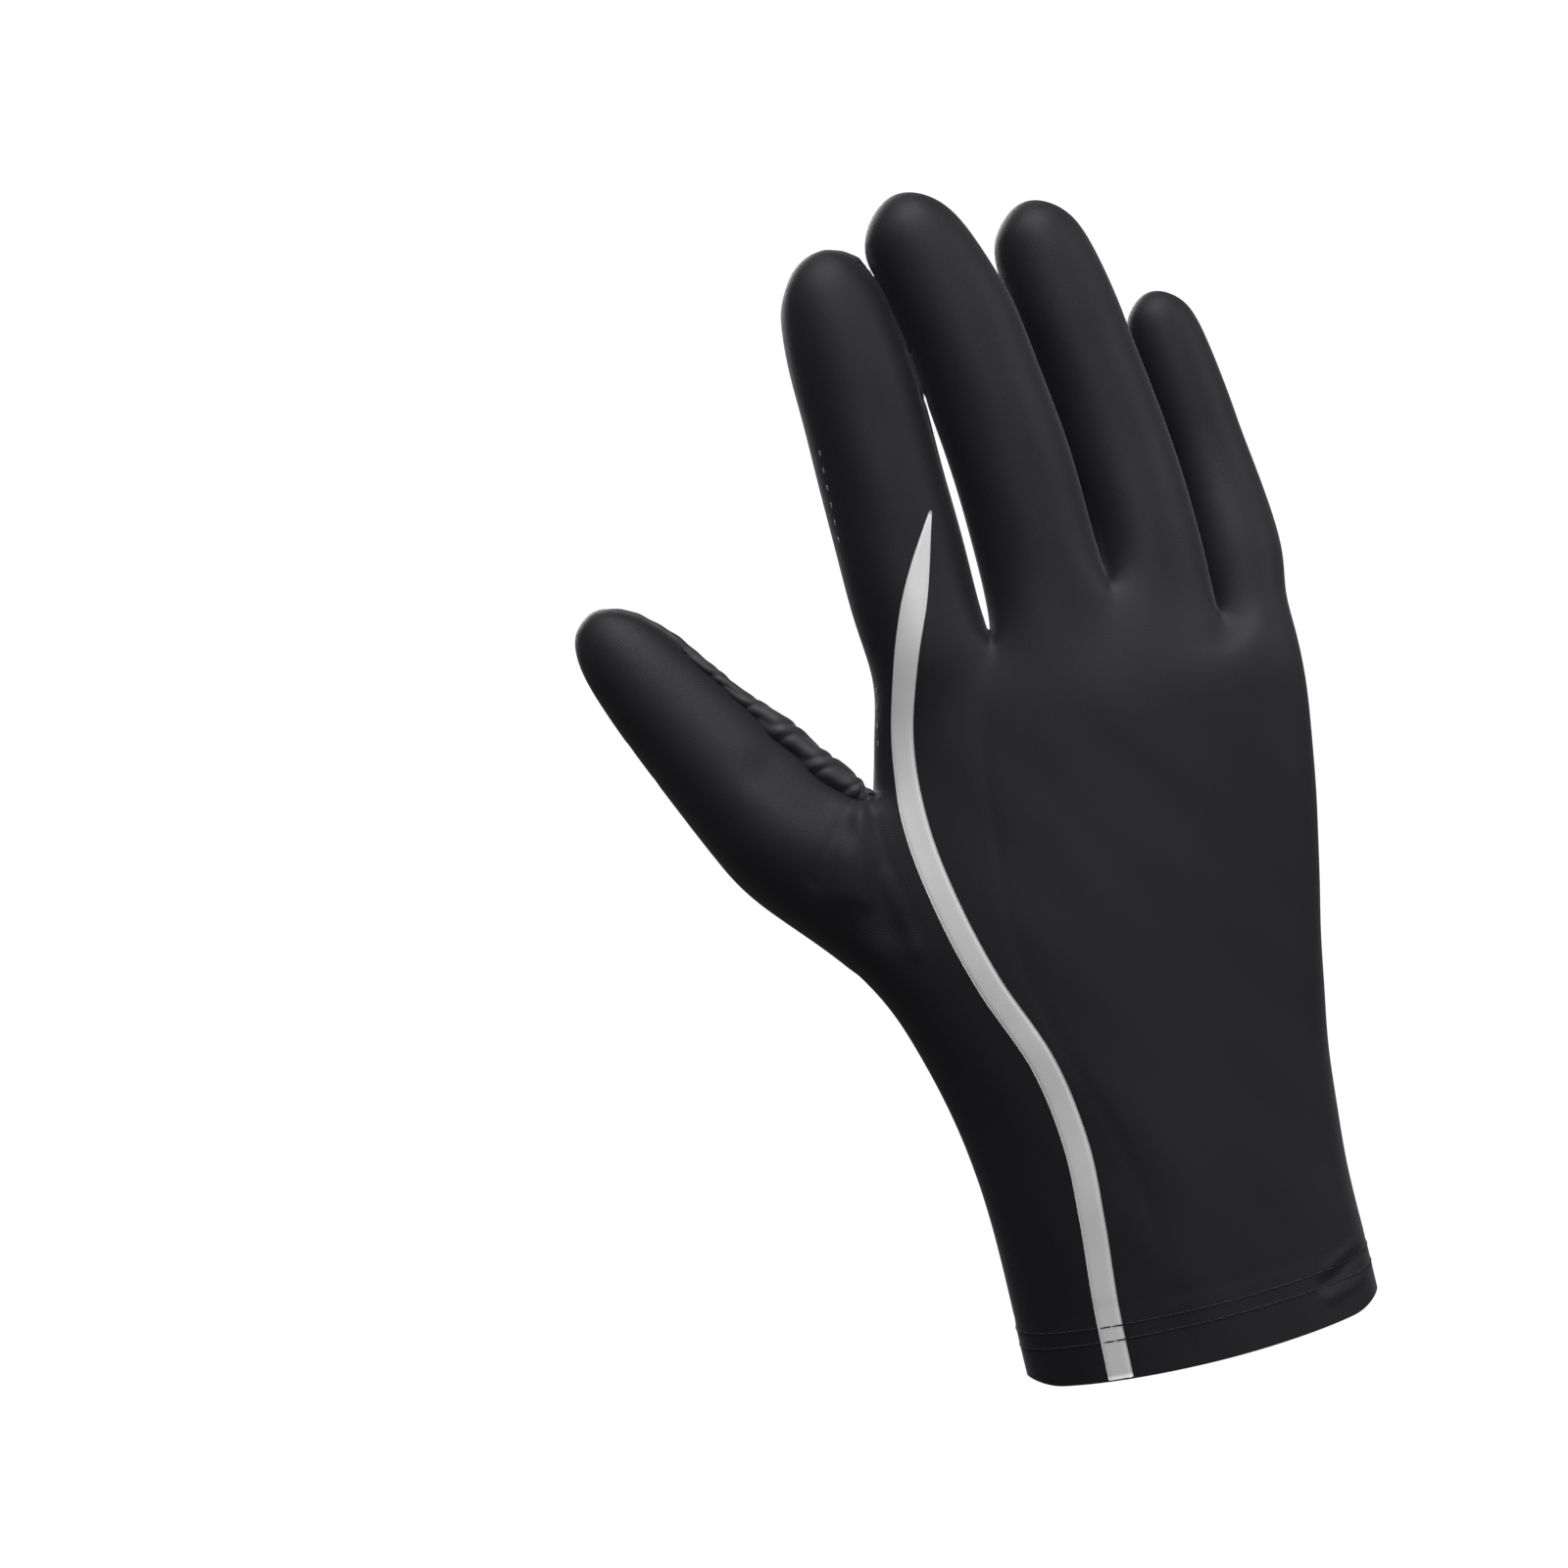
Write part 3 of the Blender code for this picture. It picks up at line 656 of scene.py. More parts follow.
def ripple(points):
    """A slow, small unevenness: three sine waves in different directions, added up."""
    waves = ((0.021, 0.4, (0.6, 0.3, 0.7)), (0.034, 1.9, (-0.5, 0.6, 0.6)), (0.013, 3.1, (0.8, -0.2, 0.5)))
    return sum(np.sin(points @ np.array(way) * 2 * np.pi / size + phase) for size, phase, way in waves) / 3


# %% Raising the folds
ripple_height, edge_level = 0.12 * mm, 0.01 * mm
rise = fold_rise(skin, normals) + ripple_height * ripple(skin) + seam_rise
cuff_edge = np.abs(skin[:, 2]) < edge_level
push = np.where(cuff_edge[:, None], unit(normals * (1, 1, 0)), normals)
skin = skin + push * rise[:, None]
normals = normals_of(skin, quads)
normals[cuff_edge] = unit(normals[cuff_edge] * (1, 1, 0))
print("cloth rises by", round(rise.max() / mm, 2), "and dips by", round(-rise.min() / mm, 2), "mm")

# %% [markdown]
# ## The bow of the cuff
# A soft cuff hangs a little lower in the middle than at its sides, where the hem turns and its corners look
# rounded. A bent hem could be modelled on its own, but then it would part from the wrist. Here the whole
# skin is lowered by a smooth amount that fades up the wrist, so the cuff and the panels above stay joined.

# %% The bow of the cuff
cuff_bow, cuff_bow_reach, cuff_bow_power = 2.4 * mm, 38 * mm, 0.8
corner_rise, corner_reach, corner_fade_power = 2.4 * mm, 7.0 * mm, 1.5
cuff_half = cuff_width / 2 + 0.6 * mm


def cuff_drop(points):
    """bow * (1 - (x / half) squared) ** power, less the corners' rise, and both fade with the height."""
    x, height = np.abs(points[:, 0]), points[:, 2]
    bow = cuff_bow * np.maximum(0, 1 - (x / cuff_half) ** 2) ** cuff_bow_power
    corner = corner_rise * np.clip((x - cuff_half) / corner_reach + 1, 0, 1) ** 2
    bow_fade = np.clip(1 - height / cuff_bow_reach, 0, 1) ** 2
    corner_fade = np.clip(1 - height / hem_height, 0, 1) ** corner_fade_power
    return bow * bow_fade - corner * corner_fade


skin[:, 2] -= cuff_drop(skin)
edge_heights = skin[cuff_edge, 2] / mm
print("cuff edge from", round(edge_heights.min(), 2), "to", round(edge_heights.max(), 2), "mm")

# %% [markdown]
# ## The knit
# Fine stretch knit is rows of tiny V-shaped loops. The pattern is worked out from the UV map in metres: a
# triangle wave across a column of loops shifts the phase of a sine wave along it, which draws the V. It only
# drives the bump. The colour is a nearly black, slightly blue grey with slow variation, and the sheen gives
# the pale bloom that such cloth has along its edges.


# %% A finish
class Finish:
    """A node material with its shader, and short ways to add patterns, calculations and relief to it."""

    def __init__(self, name):
        self.material = bpy.data.materials.new(name)
        self.material.use_nodes = True
        self.tree = self.material.node_tree
        self.shader = self.tree.nodes["Principled BSDF"]
        self.on_object = self.node("TexCoord").outputs["Object"]

    def node(self, kind, **settings):
        """A new shader node, with these of its properties set."""
        added = self.tree.nodes.new("ShaderNode" + kind)
        for key, value in settings.items():
            setattr(added, key, value)
        return added

    def put(self, node, **inputs):
        """Sets or links inputs of a node by name, with _ for a space."""
        for name, value in inputs.items():
            self.plug(node.inputs[name.replace("_", " ")], value)

    def plug(self, socket, value):
        """Links another node's output to the socket, or sets the socket's own value."""
        if isinstance(value, bpy.types.NodeSocket):
            self.tree.links.new(value, socket)
        else:
            socket.default_value = value

    def calc(self, operation, *values):
        """The output of a Math node on these values and outputs."""
        added = self.node("Math", operation=operation)
        for socket, value in zip(added.inputs, values):
            self.plug(socket, value)
        return added.outputs[0]

    def noise(self, scale, detail=2.0):
        """Noise in the object's own space, so many cycles a metre."""
        added = self.node("TexNoise")
        self.put(added, Vector=self.on_object, Scale=scale, Detail=detail)
        return added.outputs[0]

    def colour(self, share, dark, light):
        """A base colour that goes from dark to light with the share."""
        mixed = self.node("Mix", data_type="RGBA")
        colour_inputs = [socket for socket in mixed.inputs if socket.type == "RGBA"]
        for socket, value in zip([mixed.inputs[0], *colour_inputs], (share, (*dark, 1), (*light, 1))):
            self.plug(socket, value)
        self.put(self.shader, Base_Color=[out for out in mixed.outputs if out.type == "RGBA"][0])

    def relief(self, height, strength, distance):
        """Bump by this height."""
        bump = self.node("Bump")
        self.put(bump, Height=height, Strength=strength, Distance=distance)
        self.put(self.shader, Normal=bump.outputs[0])


# %% The knit material
wale, course = 0.62 * mm, 0.48 * mm


def knit_material(name, dark, light, roughness, sheen, depth):
    """Loops in columns one wale wide and one course high, on the piece's own UV map in metres."""
    finish = Finish(name)
    calc = finish.calc
    split = finish.node("SeparateXYZ")
    finish.put(split, Vector=finish.node("UVMap", uv_map="cloth").outputs[0])
    column = calc("FRACT", calc("ADD", calc("DIVIDE", split.outputs[0], wale), 1000.0))
    edge = calc("MULTIPLY", calc("ABSOLUTE", calc("SUBTRACT", column, 0.5)), 2.0)
    phase = calc("ADD", calc("DIVIDE", split.outputs[1], course), calc("MULTIPLY", edge, 0.6))
    loop = calc("SINE", calc("MULTIPLY", phase, 2 * np.pi))
    groove = calc("SUBTRACT", 1.0, calc("POWER", edge, 4.0))
    height = calc("MULTIPLY", calc("ADD", calc("MULTIPLY", loop, 0.35), 0.65), groove)
    slow, fibre = finish.noise(28.0, detail=3.0), finish.noise(2600.0)
    finish.colour(calc("ADD", calc("MULTIPLY", slow, 0.7), calc("MULTIPLY", fibre, 0.3)), dark, light)
    uneven = calc("MULTIPLY", calc("SUBTRACT", slow, 0.5), 0.2)
    finish.put(finish.shader, Roughness=calc("ADD", uneven, roughness), Specular_IOR_Level=0.22)
    finish.put(finish.shader, Sheen_Weight=sheen, Sheen_Roughness=0.38, Sheen_Tint=(0.82, 0.84, 0.92, 1))
    finish.relief(calc("ADD", height, calc("MULTIPLY", fibre, 0.35)), strength=0.24, distance=depth)
    return finish.material


black, black_light = (0.0040, 0.0036, 0.0056), (0.0078, 0.0082, 0.0106)
hem_black, hem_light = (0.0055, 0.0052, 0.0072), (0.0105, 0.0106, 0.0130)
knit = knit_material("black_knit", black, black_light, 0.60, 0.10, 0.08 * mm)
hem_knit = knit_material("hem_knit", hem_black, hem_light, 0.57, 0.12, 0.09 * mm)
print("loops across the palm:", round(palm_width / wale))

# %% [markdown]
# ## Cutting the cloth pieces
# Each piece is the part of the skin with its mark, as a closed wall: the skin outside, the same faces one
# cloth thickness inside, and a rounded rim where the piece ends. Solidify could make the wall, but a wall
# made from the shared skin keeps both sides of a seam exactly together. The walls keep the skin's normals,
# so a seam shades as one soft surface, and the rim's normals face away from the piece.

# %% Cloth walls
cloth, hem_cloth, tiny = 0.9 * mm, 1.5 * mm, 1e-9


def edge_pull(place, borders, inward):
    """At every point on the edge the sum of the directions into the piece, and nothing elsewhere."""
    along = unit(place[borders[:, 1]] - place[borders[:, 0]])
    inward = unit(inward - along * (inward * along).sum(-1, keepdims=True))
    pull = np.zeros_like(place)
    np.add.at(pull, borders[:, 0], inward)
    np.add.at(pull, borders[:, 1], inward)
    return pull / np.maximum(np.linalg.norm(pull, axis=1, keepdims=True), tiny)


def cloth_wall(name, mark, wall, finish, raised=0.0, rim_tuck=0.012):
    """Outer points at the skin, inner points one wall below, both tucked in from the rim's middle line."""
    chosen = marks == mark
    used, local = np.unique(quads[chosen], return_inverse=True)
    local = local.reshape(-1, 4)
    facing = normals[used]
    place = skin[used] + facing * raised
    borders, owner, edge = edge_table(local)
    lone = np.bincount(edge)[edge] == 1
    borders, owner = borders[lone], owner[lone]
    pull = edge_pull(place, borders, place[local].mean(1)[owner] - place[borders[:, 0]])
    tuck = pull * wall * rim_tuck
    rim, rim_of = np.unique(borders), np.zeros(len(place), int)
    rim_of[rim] = np.arange(len(rim))
    count = len(place)
    points = [place + tuck, place - facing * wall + tuck, place[rim] - facing[rim] * wall / 2]
    start, end = borders.T
    start_middle, end_middle = 2 * count + rim_of[start], 2 * count + rim_of[end]
    faces = [
        local,
        local[:, ::-1] + count,
        np.stack([end, start, start_middle, end_middle], axis=1),
        np.stack([end_middle, start_middle, start + count, end + count], axis=1),
    ]
    cut = uvs[chosen]
    rim_uv = np.stack([cut, np.roll(cut, -1, axis=1)], axis=2).reshape(-1, 2, 2)[lone]
    rim_uv = rim_uv[:, [1, 0, 0, 1]]
    wall_uvs = np.concatenate([cut, cut[:, ::-1], rim_uv, rim_uv])
    mesh = new_mesh(name, np.concatenate(points), np.concatenate(faces), wall_uvs)
    mesh.normals_split_custom_set_from_vertices(np.concatenate([facing, -facing, -pull[rim]]))
    mesh.materials.append(finish)
    print(name, "has", 2 * len(mesh.polygons), "triangles")
    return new_object(name, mesh)


# %% The seven cloth pieces
palm_knit = cloth_wall("palm_knit", PALM, cloth, knit)
side_knit = cloth_wall("side_knit", SIDE, cloth, knit)
back_knit = cloth_wall("back_knit", BACK, cloth, knit)
thumb_knit = cloth_wall("thumb_knit", THUMB, cloth, knit)
cuff_fold = cloth_wall("cuff_fold", CUFF, hem_cloth, knit)
hem_raise, hem_tuck = 0.08 * mm, 0.12
index_hem_fold = cloth_wall("index_hem_fold", INDEX_HEM, hem_cloth, hem_knit, hem_raise, hem_tuck)
thumb_hem_fold = cloth_wall("thumb_hem_fold", THUMB_HEM, hem_cloth, hem_knit, hem_raise, hem_tuck)

# %% [markdown]
# ## Laying things on the cloth
# The tape, the stitches and the grip dashes all lie on the skin. A point is laid on it by the tangent planes
# of its four nearest skin points, weighed by nearness, which is smooth enough for a stripe and quick for
# thousands of points.

# %% Laying points on the skin
plane_count, plane_blur, least_facing, laid_block = 4, 0.2 * mm, 0.15, 400


def laid(points, facing_y=None):
    """Each point moved onto the tangent planes of its nearest skin points, with the normal there.

    With facing_y it moves along Y only, onto the side of the hand that faces that way.
    """
    choice = np.arange(len(skin))
    if facing_y is not None:
        choice = choice[normals[:, 1] * facing_y > least_facing]
    axes = [0, 1, 2] if facing_y is None else [0, 2]
    places, facings = [], []
    for part in np.array_split(points, len(points) // laid_block + 1):
        gap = ((part[:, None, axes] - skin[choice][None][:, :, axes]) ** 2).sum(-1)
        nearest = np.argpartition(gap, plane_count, axis=1)[:, :plane_count]
        weight = 1 / (np.take_along_axis(gap, nearest, axis=1) + plane_blur**2)
        weight = (weight / weight.sum(1, keepdims=True))[..., None]
        at, n = skin[choice][nearest], normals[choice][nearest]
        off = ((part[:, None] - at) * n).sum(-1, keepdims=True)
        if facing_y is None:
            moved = part[:, None] - n * off
        else:
            moved = part[:, None] - off / n[..., 1:2] * np.array([0, 1.0, 0])
        places.append((moved * weight).sum(1))
        facings.append(unit((n * weight).sum(1)))
    return np.concatenate(places), np.concatenate(facings)


def smooth_line(points, steps):
    """A Catmull-Rom curve: on each stretch the cubic through both ends, level with its neighbours."""
    padded = np.concatenate([[2 * points[0] - points[1]], points, [2 * points[-1] - points[-2]]])
    a, b, c, d = (part[:, None] for part in (padded[:-3], padded[1:-2], padded[2:-1], padded[3:]))
    t = (np.arange(steps) / steps)[None, :, None]
    curve = (2 * b + (c - a) * t + (2 * a - 5 * b + 4 * c - d) * t**2 + (3 * b - a - 3 * c + d) * t**3) / 2
    return np.concatenate([curve.reshape(-1, points.shape[1]), points[-1:]])


# %% [markdown]
# ## The reflective tape
# The tape is a satin strip about 5 mm wide, welded to the side panel. It is a grid: along the winding line
# and across it, laid on the skin, with a top that rounds down to thin edges. Near the index finger it ends
# in a point.

# %% The tape's line
stripe_width, stripe_cloth, stripe_edge = 5 * mm, 0.32 * mm, 0.06 * mm
# Columns: up, across.
stripe_line = np.array(
    [
        (-0.0105, -0.207),
        (0.093, -0.200),
        (0.199, -0.185),
        (0.306, -0.179),
        (0.418, -0.207),
        (0.537, -0.281),
        (0.652, -0.329),
        (0.763, -0.351),
        (0.870, -0.336),
        (0.970, -0.288),
        (1.068, -0.220),
        (1.160, -0.150),
    ]
)
stripe_steps, stripe_columns, point_share, narrowing = 16, 13, 0.88, 0.9


def tape_grid():
    """Rows along the line, columns across it; the half width narrows as share ** 1.5 near the point."""
    flat = smooth_line(stripe_line, stripe_steps) * (palm_height, palm_width)
    start = np.stack([flat[:, 1], np.zeros(len(flat)), flat[:, 0]], axis=1)
    middle, facing = laid(start, facing_y=-1)
    across = unit(np.cross(unit(np.gradient(middle, axis=0)), facing))
    share = np.maximum(0, np.linspace(0, 1, len(flat)) - point_share) / (1 - point_share)
    half = stripe_width / 2 * (1 - narrowing * share**1.5)
    column = np.linspace(-1, 1, stripe_columns)
    points = middle[:, None] + across[:, None] * (half[:, None] * column)[..., None]
    rest, normal = laid(points.reshape(-1, 3))
    crown = np.tile((1 - column**8) ** 0.5, len(flat))[:, None]
    uv = np.stack([(half[:, None] * column).ravel(), np.repeat(run_along(middle), stripe_columns)], axis=1)
    return rest, rest + normal * (stripe_edge + stripe_cloth * crown), uv, len(flat)


def grid_faces(rows, columns, first=0):
    """The quads of a grid of points numbered row by row."""
    corner = (np.arange(rows - 1)[:, None] * columns + np.arange(columns - 1)).ravel() + first
    return np.stack([corner, corner + 1, corner + columns + 1, corner + columns], axis=1)


under, over, tape_uv, tape_rows = tape_grid()
print("tape rows:", tape_rows, "and length, mm:", round(tape_uv[-1, 1] / mm, 1))

# %% The tape's faces
tape_middle = under[stripe_columns // 2 :: stripe_columns]
first_column, first_row = np.arange(tape_rows) * stripe_columns, np.arange(stripe_columns)
borders = (
    first_column,
    (first_column + stripe_columns - 1)[::-1],
    first_row[::-1],
    first_row + (tape_rows - 1) * stripe_columns,
)
tape_faces = np.concatenate(
    [
        grid_faces(tape_rows, stripe_columns),
        grid_faces(tape_rows, stripe_columns, first=len(under))[:, ::-1],
        *(np.stack([b[1:], b[:-1], b[:-1] + len(under), b[1:] + len(under)], axis=1) for b in borders),
    ]
)

# %% [markdown]
# ## The tape's finish
# Reflective tape is a grey satin film full of glass beads: it glows softly, with a fine sparkle and faint
# bands where it was stretched. Two dark thread lines cross it where the cuff is sewn, and they are pieces of
# their own.

# %% The tape material
silver = Finish("silver_tape")
stretch, bands = silver.node("Mapping"), silver.node("TexNoise", noise_dimensions="2D")
silver.put(stretch, Vector=silver.node("UVMap", uv_map="cloth").outputs[0], Scale=(20.0, 60.0, 1.0))
silver.put(bands, Vector=stretch.outputs[0], Scale=1.0, Detail=2.0)
beads = silver.node("TexVoronoi")
silver.put(beads, Vector=silver.on_object, Scale=6500.0)
bead = beads.outputs["Distance"]
tone = silver.calc("ADD", silver.calc("MULTIPLY", bands.outputs[0], 0.8), silver.calc("MULTIPLY", bead, 0.3))
silver.colour(tone, (0.41, 0.41, 0.415), (0.60, 0.60, 0.61))
silver.put(silver.shader, Roughness=0.5)
silver.relief(bead, strength=0.25, distance=0.03 * mm)


def add_piece(name, points, faces, finish, uv=None):
    """An object made of these points and quads, with the finish, in the scene."""
    mesh = new_mesh(name, points, faces, None if uv is None else uv[faces])
    mesh.materials.append(finish)
    print(name, "has", 2 * len(faces), "triangles")
    return new_object(name, mesh)


tape_points, tape_uvs = np.concatenate([under, over]), np.concatenate([tape_uv, tape_uv])
reflective_tape = add_piece("reflective_tape", tape_points, tape_faces, silver.material, tape_uvs)

# %% [markdown]
# ## The folded edges of the hoods
# The hood of each bared fingertip is turned over and stitched, so its edge is a soft roll. The opening's own
# loop of points is measured out evenly and smoothed, and a tube of slightly uneven thickness is carried
# along it.


# %% A tube
tube_points = 10


def tube(line, radius):
    """Circles of these radii round a closed line and square to it, whose first axis points outwards."""
    along = unit(np.roll(line, -1, axis=0) - np.roll(line, 1, axis=0))
    side = unit(np.cross(along, line - line.mean(0)))
    other = np.cross(along, side)
    angle = np.arange(tube_points) * 2 * np.pi / tube_points
    circle = side[:, None] * np.cos(angle)[:, None] + other[:, None] * np.sin(angle)[:, None]
    points = (line[:, None] + circle * radius[:, None, None]).reshape(-1, 3)
    here = np.arange(len(points)).reshape(-1, tube_points)
    there = np.roll(here, -1, axis=0)
    faces = np.stack([here, np.roll(here, -1, axis=1), np.roll(there, -1, axis=1), there], axis=-1)
    return points, faces.reshape(-1, 4)


def outward(points, faces):
    """The faces turned over if the closed body that they make is inside out, by the sign of its volume."""
    a, b, c, d = (points[faces[:, i]] for i in range(4))
    volume = (a * np.cross(b, c)).sum() + (a * np.cross(c, d)).sum()
    return faces if volume > 0 else faces[:, ::-1]


def tube_uv(line, radius, points_round):
    """u round the tube in metres and v along it, for the points of a tube in their order."""
    around = np.arange(points_round) / points_round * 2 * np.pi * np.mean(radius)
    return np.stack([np.tile(around, len(line)), np.repeat(run_along(line), points_round)], axis=1)


# %% The hoods' rims
rim_samples, rim_easing, rim_stand, rim_lean = 260, 6, 0.35, 1.6
# The rims and the roll are the same black knit, but their colours are set several times lighter: painted
# highlight for the light that their rolled edges and folds catch.
highlit_roll_dark, highlit_roll_light = (0.0145, 0.0136, 0.0162), (0.032, 0.0302, 0.0348)
rolled_knit_painted_highlight = knit_material("rolled_knit_painted_highlight", highlit_roll_dark, highlit_roll_light, 0.56, 0.28, 0.045 * mm)


def hood_rim(name, digit_marks, thin, thick, heavy_side):
    """A closed roll on the opening's edge, thick on the heavy side, with two small sine waves round it."""
    loop, _ = opening_loop(digit_marks)
    side = skin[loop] @ np.array(heavy_side)
    heavy = (side - side.min()) / (side.max() - side.min())
    share = level_ends(np.clip(1 - (1 - heavy) * rim_lean, 0, 1))
    turn = np.linspace(0, 2 * np.pi, len(loop), endpoint=False)
    uneven = 1 + 0.07 * np.sin(9 * turn) + 0.05 * np.sin(23 * turn + 1)
    radius = (thin + (thick - thin) * share) / 2 * uneven
    line = closed(skin[loop] - normals[loop] * (cloth / 2 - radius * rim_stand * share)[:, None])
    run = run_along(line)
    at = np.linspace(0, run[-1], rim_samples, endpoint=False)
    radius = np.interp(at, run, closed(radius))
    line = eased_loop(read_line(at, run, line), rim_easing)
    points, faces = tube(line, radius)
    rim_uv = tube_uv(line, radius, tube_points)
    return add_piece(name, points, outward(points, faces), rolled_knit_painted_highlight, rim_uv)


index_hood_rim = hood_rim("index_hood_rim", (SIDE, INDEX_HEM), 1.1 * mm, 1.7 * mm, (1.0, -0.4, 0.0))
thumb_hood_rim = hood_rim("thumb_hood_rim", (THUMB, THUMB_HEM), 1.3 * mm, 2.3 * mm, (0.8, -0.5, 0.4))

# %% [markdown]
# ## The twisted roll at the thumb
# Below the thumb's opening the spare cloth of the hood is bunched into a roll that runs down the thumb's
# inner side into its crook. It is a tube whose section has three rounded strands, turned steadily along its
# length like wrung cloth, flattened against the thumb and thinner at both ends.

# %% The roll's line
# Columns: across and up in mm, radius in mm.
roll_line = np.array(
    [
        (-64.4, 155.4, 0.6),
        (-61.4, 150.6, 1.4),
        (-57.8, 145.2, 1.6),
        (-54.6, 140.3, 2.1),
        (-51.6, 135.2, 3.2),
        (-47.9, 129.4, 3.1),
        (-43.6, 124.0, 3.5),
        (-39.8, 119.8, 3.1),
        (-37.0, 116.8, 2.0),
        (-35.4, 115.0, 0.9),
    ]
)
roll_steps, roll_easing, roll_points, roll_set = 16, 30, 30, 4.5 * mm
strands, strand_depth, roll_pitch = 3, 0.24, 15 * mm
roll_stand, roll_flatness = 0.3, 0.8
sway, sway_length, wobble, wobble_length = 0.35 * mm, 11 * mm, 0.5, 9 * mm


def eased_line(points, times):
    """An open line with every inner point averaged with its neighbours, again and again."""
    for _ in range(times):
        inner = (points[:-2] + 2 * points[1:-1] + points[2:]) / 4
        points = np.concatenate([points[:1], inner, points[-1:]])
    return points


def on_thumb(place, angle):
    """The thumb's middle plus half width * (across * cos(angle) + deep * sin(angle)) at these places."""
    across = unit(thumb_inwards - thumb_way * (thumb_inwards @ thumb_way))
    deep = np.cross(thumb_way, across) * finger_roundness
    half = np.interp(place, thumb_place[:-1], thumb_width * thumb_widths) / 2
    ring = across * np.cos(angle)[:, None] + deep * np.sin(angle)[:, None]
    return thumb_centres(thumb_web, place) + ring * half[:, None]


def roll_path():
    """The roll's line laid on the thumb's back and eased: its middle, its facing and its radius."""
    across, up, radius = smooth_line(roll_line, roll_steps).T * mm
    deep = thumb_web[1] + (up - thumb_web[2]) * thumb_way[1] / thumb_way[2] - roll_set
    middle, facing = laid(np.stack([across, deep, up], axis=1))
    return eased_line(middle, roll_easing), unit(eased_line(facing, roll_easing)), radius


# %% The twisted roll
def twisted_roll():
    """radius * (1 - depth + depth * |cos(strands / 2 * (angle - turn))| ** 0.7), turning with the length."""
    middle, facing, radius = roll_path()
    run = run_along(middle)
    beside = unit(np.cross(unit(np.gradient(middle, axis=0)), facing))
    to_side = sway * np.sin(run / sway_length * 2 * np.pi) * radius / radius.max()
    middle = middle + facing * (radius * roll_stand)[:, None] + beside * to_side[:, None]
    around = np.arange(roll_points) * 2 * np.pi / roll_points
    turn = run / roll_pitch * 2 * np.pi + wobble * np.sin(run / wobble_length * 2 * np.pi)
    wave = np.abs(np.cos(strands / 2 * (around[None] - turn[:, None]))) ** 0.7
    size = radius[:, None] * (1 - strand_depth + strand_depth * wave)
    ring = beside[:, None] * np.cos(around)[:, None]
    ring = ring + facing[:, None] * roll_flatness * np.sin(around)[:, None]
    points = (middle[:, None] + ring * size[..., None]).reshape(-1, 3)
    return points, tube_uv(middle, radius, roll_points)


def roll_faces(rows):
    """Quads round the roll between its rows, and both ends closed by strips of quads across them."""
    here = np.arange(rows * roll_points).reshape(rows, roll_points)
    after = np.roll(here, -1, axis=1)
    body = np.stack([here[:-1], after[:-1], after[1:], here[1:]], axis=-1).reshape(-1, 4)
    step = np.arange(roll_points // 2 - 1)
    near, far = (
        np.stack([end[step], end[step + 1], end[-step - 2], end[-step - 1]], axis=1) for end in here[[0, -1]]
    )
    return np.concatenate([body, near, far[:, ::-1]])


roll_shape, roll_uv = twisted_roll()
roll_quads = outward(roll_shape, roll_faces(len(roll_shape) // roll_points))
thumb_web_roll = add_piece("thumb_web_roll", roll_shape, roll_quads, rolled_knit_painted_highlight, roll_uv)

# %% [markdown]
# ## Stitches
# A stitch is a short, slightly domed piece of thread. One small form is worked out once and copied along
# each sewn line as arrays: every copy is the form's points times its own along, across and up directions.

# %% The stitch form
capsule_rings, capsule_sides = 5, 6


def capsule():
    """A closed bean: rings whose radius is the root of their angle's sine, along an axis from -1 to 1."""
    angle = np.linspace(0, np.pi, capsule_rings + 2)[1:-1]
    turn = np.tile(np.arange(capsule_sides) * 2 * np.pi / capsule_sides, capsule_rings)
    x = np.repeat(-np.cos(angle), capsule_sides)
    radius = np.repeat(np.sin(angle) ** 0.5, capsule_sides)
    points = np.stack([x, radius * np.cos(turn), radius * np.sin(turn)], axis=1)
    points = np.concatenate([points, [[-1, 0, 0], [1, 0, 0]]])
    here = np.arange(capsule_rings * capsule_sides).reshape(capsule_rings, capsule_sides)
    after = np.roll(here, -1, axis=1)
    body = np.stack([here[:-1], after[:-1], after[1:], here[1:]], axis=-1).reshape(-1, 4)
    step = np.arange(0, capsule_sides, 2)
    corners = [here[:, (step + turned) % capsule_sides] for turned in (0, 1, 2)]
    first, last = (np.full(len(step), len(points) - back) for back in (2, 1))
    first_cap = np.stack([first, corners[2][0], corners[1][0], corners[0][0]], axis=1)
    last_cap = np.stack([last, corners[0][-1], corners[1][-1], corners[2][-1]], axis=1)
    return points, outward(points, np.concatenate([body, first_cap, last_cap]))


bean, bean_faces = capsule()


def beans(places, along, up, size):
    """place + x * along * length / 2 + y * across * width / 2 + z * up * height / 2, for all copies."""
    across = unit(np.cross(up, along))
    along = np.cross(across, up)
    spread = [np.broadcast_to(part, len(places))[:, None, None] / 2 for part in size]
    moved = sum(
        bean[None, :, axis, None] * way[:, None] * part
        for axis, (way, part) in enumerate(zip((along, across, up), spread))
    )
    numbers = bean_faces[None] + np.arange(len(places))[:, None, None] * len(bean)
    return (places[:, None] + moved).reshape(-1, 3), numbers.reshape(-1, 4)


def joined(lots):
    """Several lots of points and faces as one."""
    offsets = np.cumsum([0] + [len(points) for points, _ in lots[:-1]])
    points, faces = zip(*lots)
    return np.concatenate(points), np.concatenate([lot + offset for lot, offset in zip(faces, offsets)])


print("a stitch has", 2 * len(bean_faces), "triangles at most")


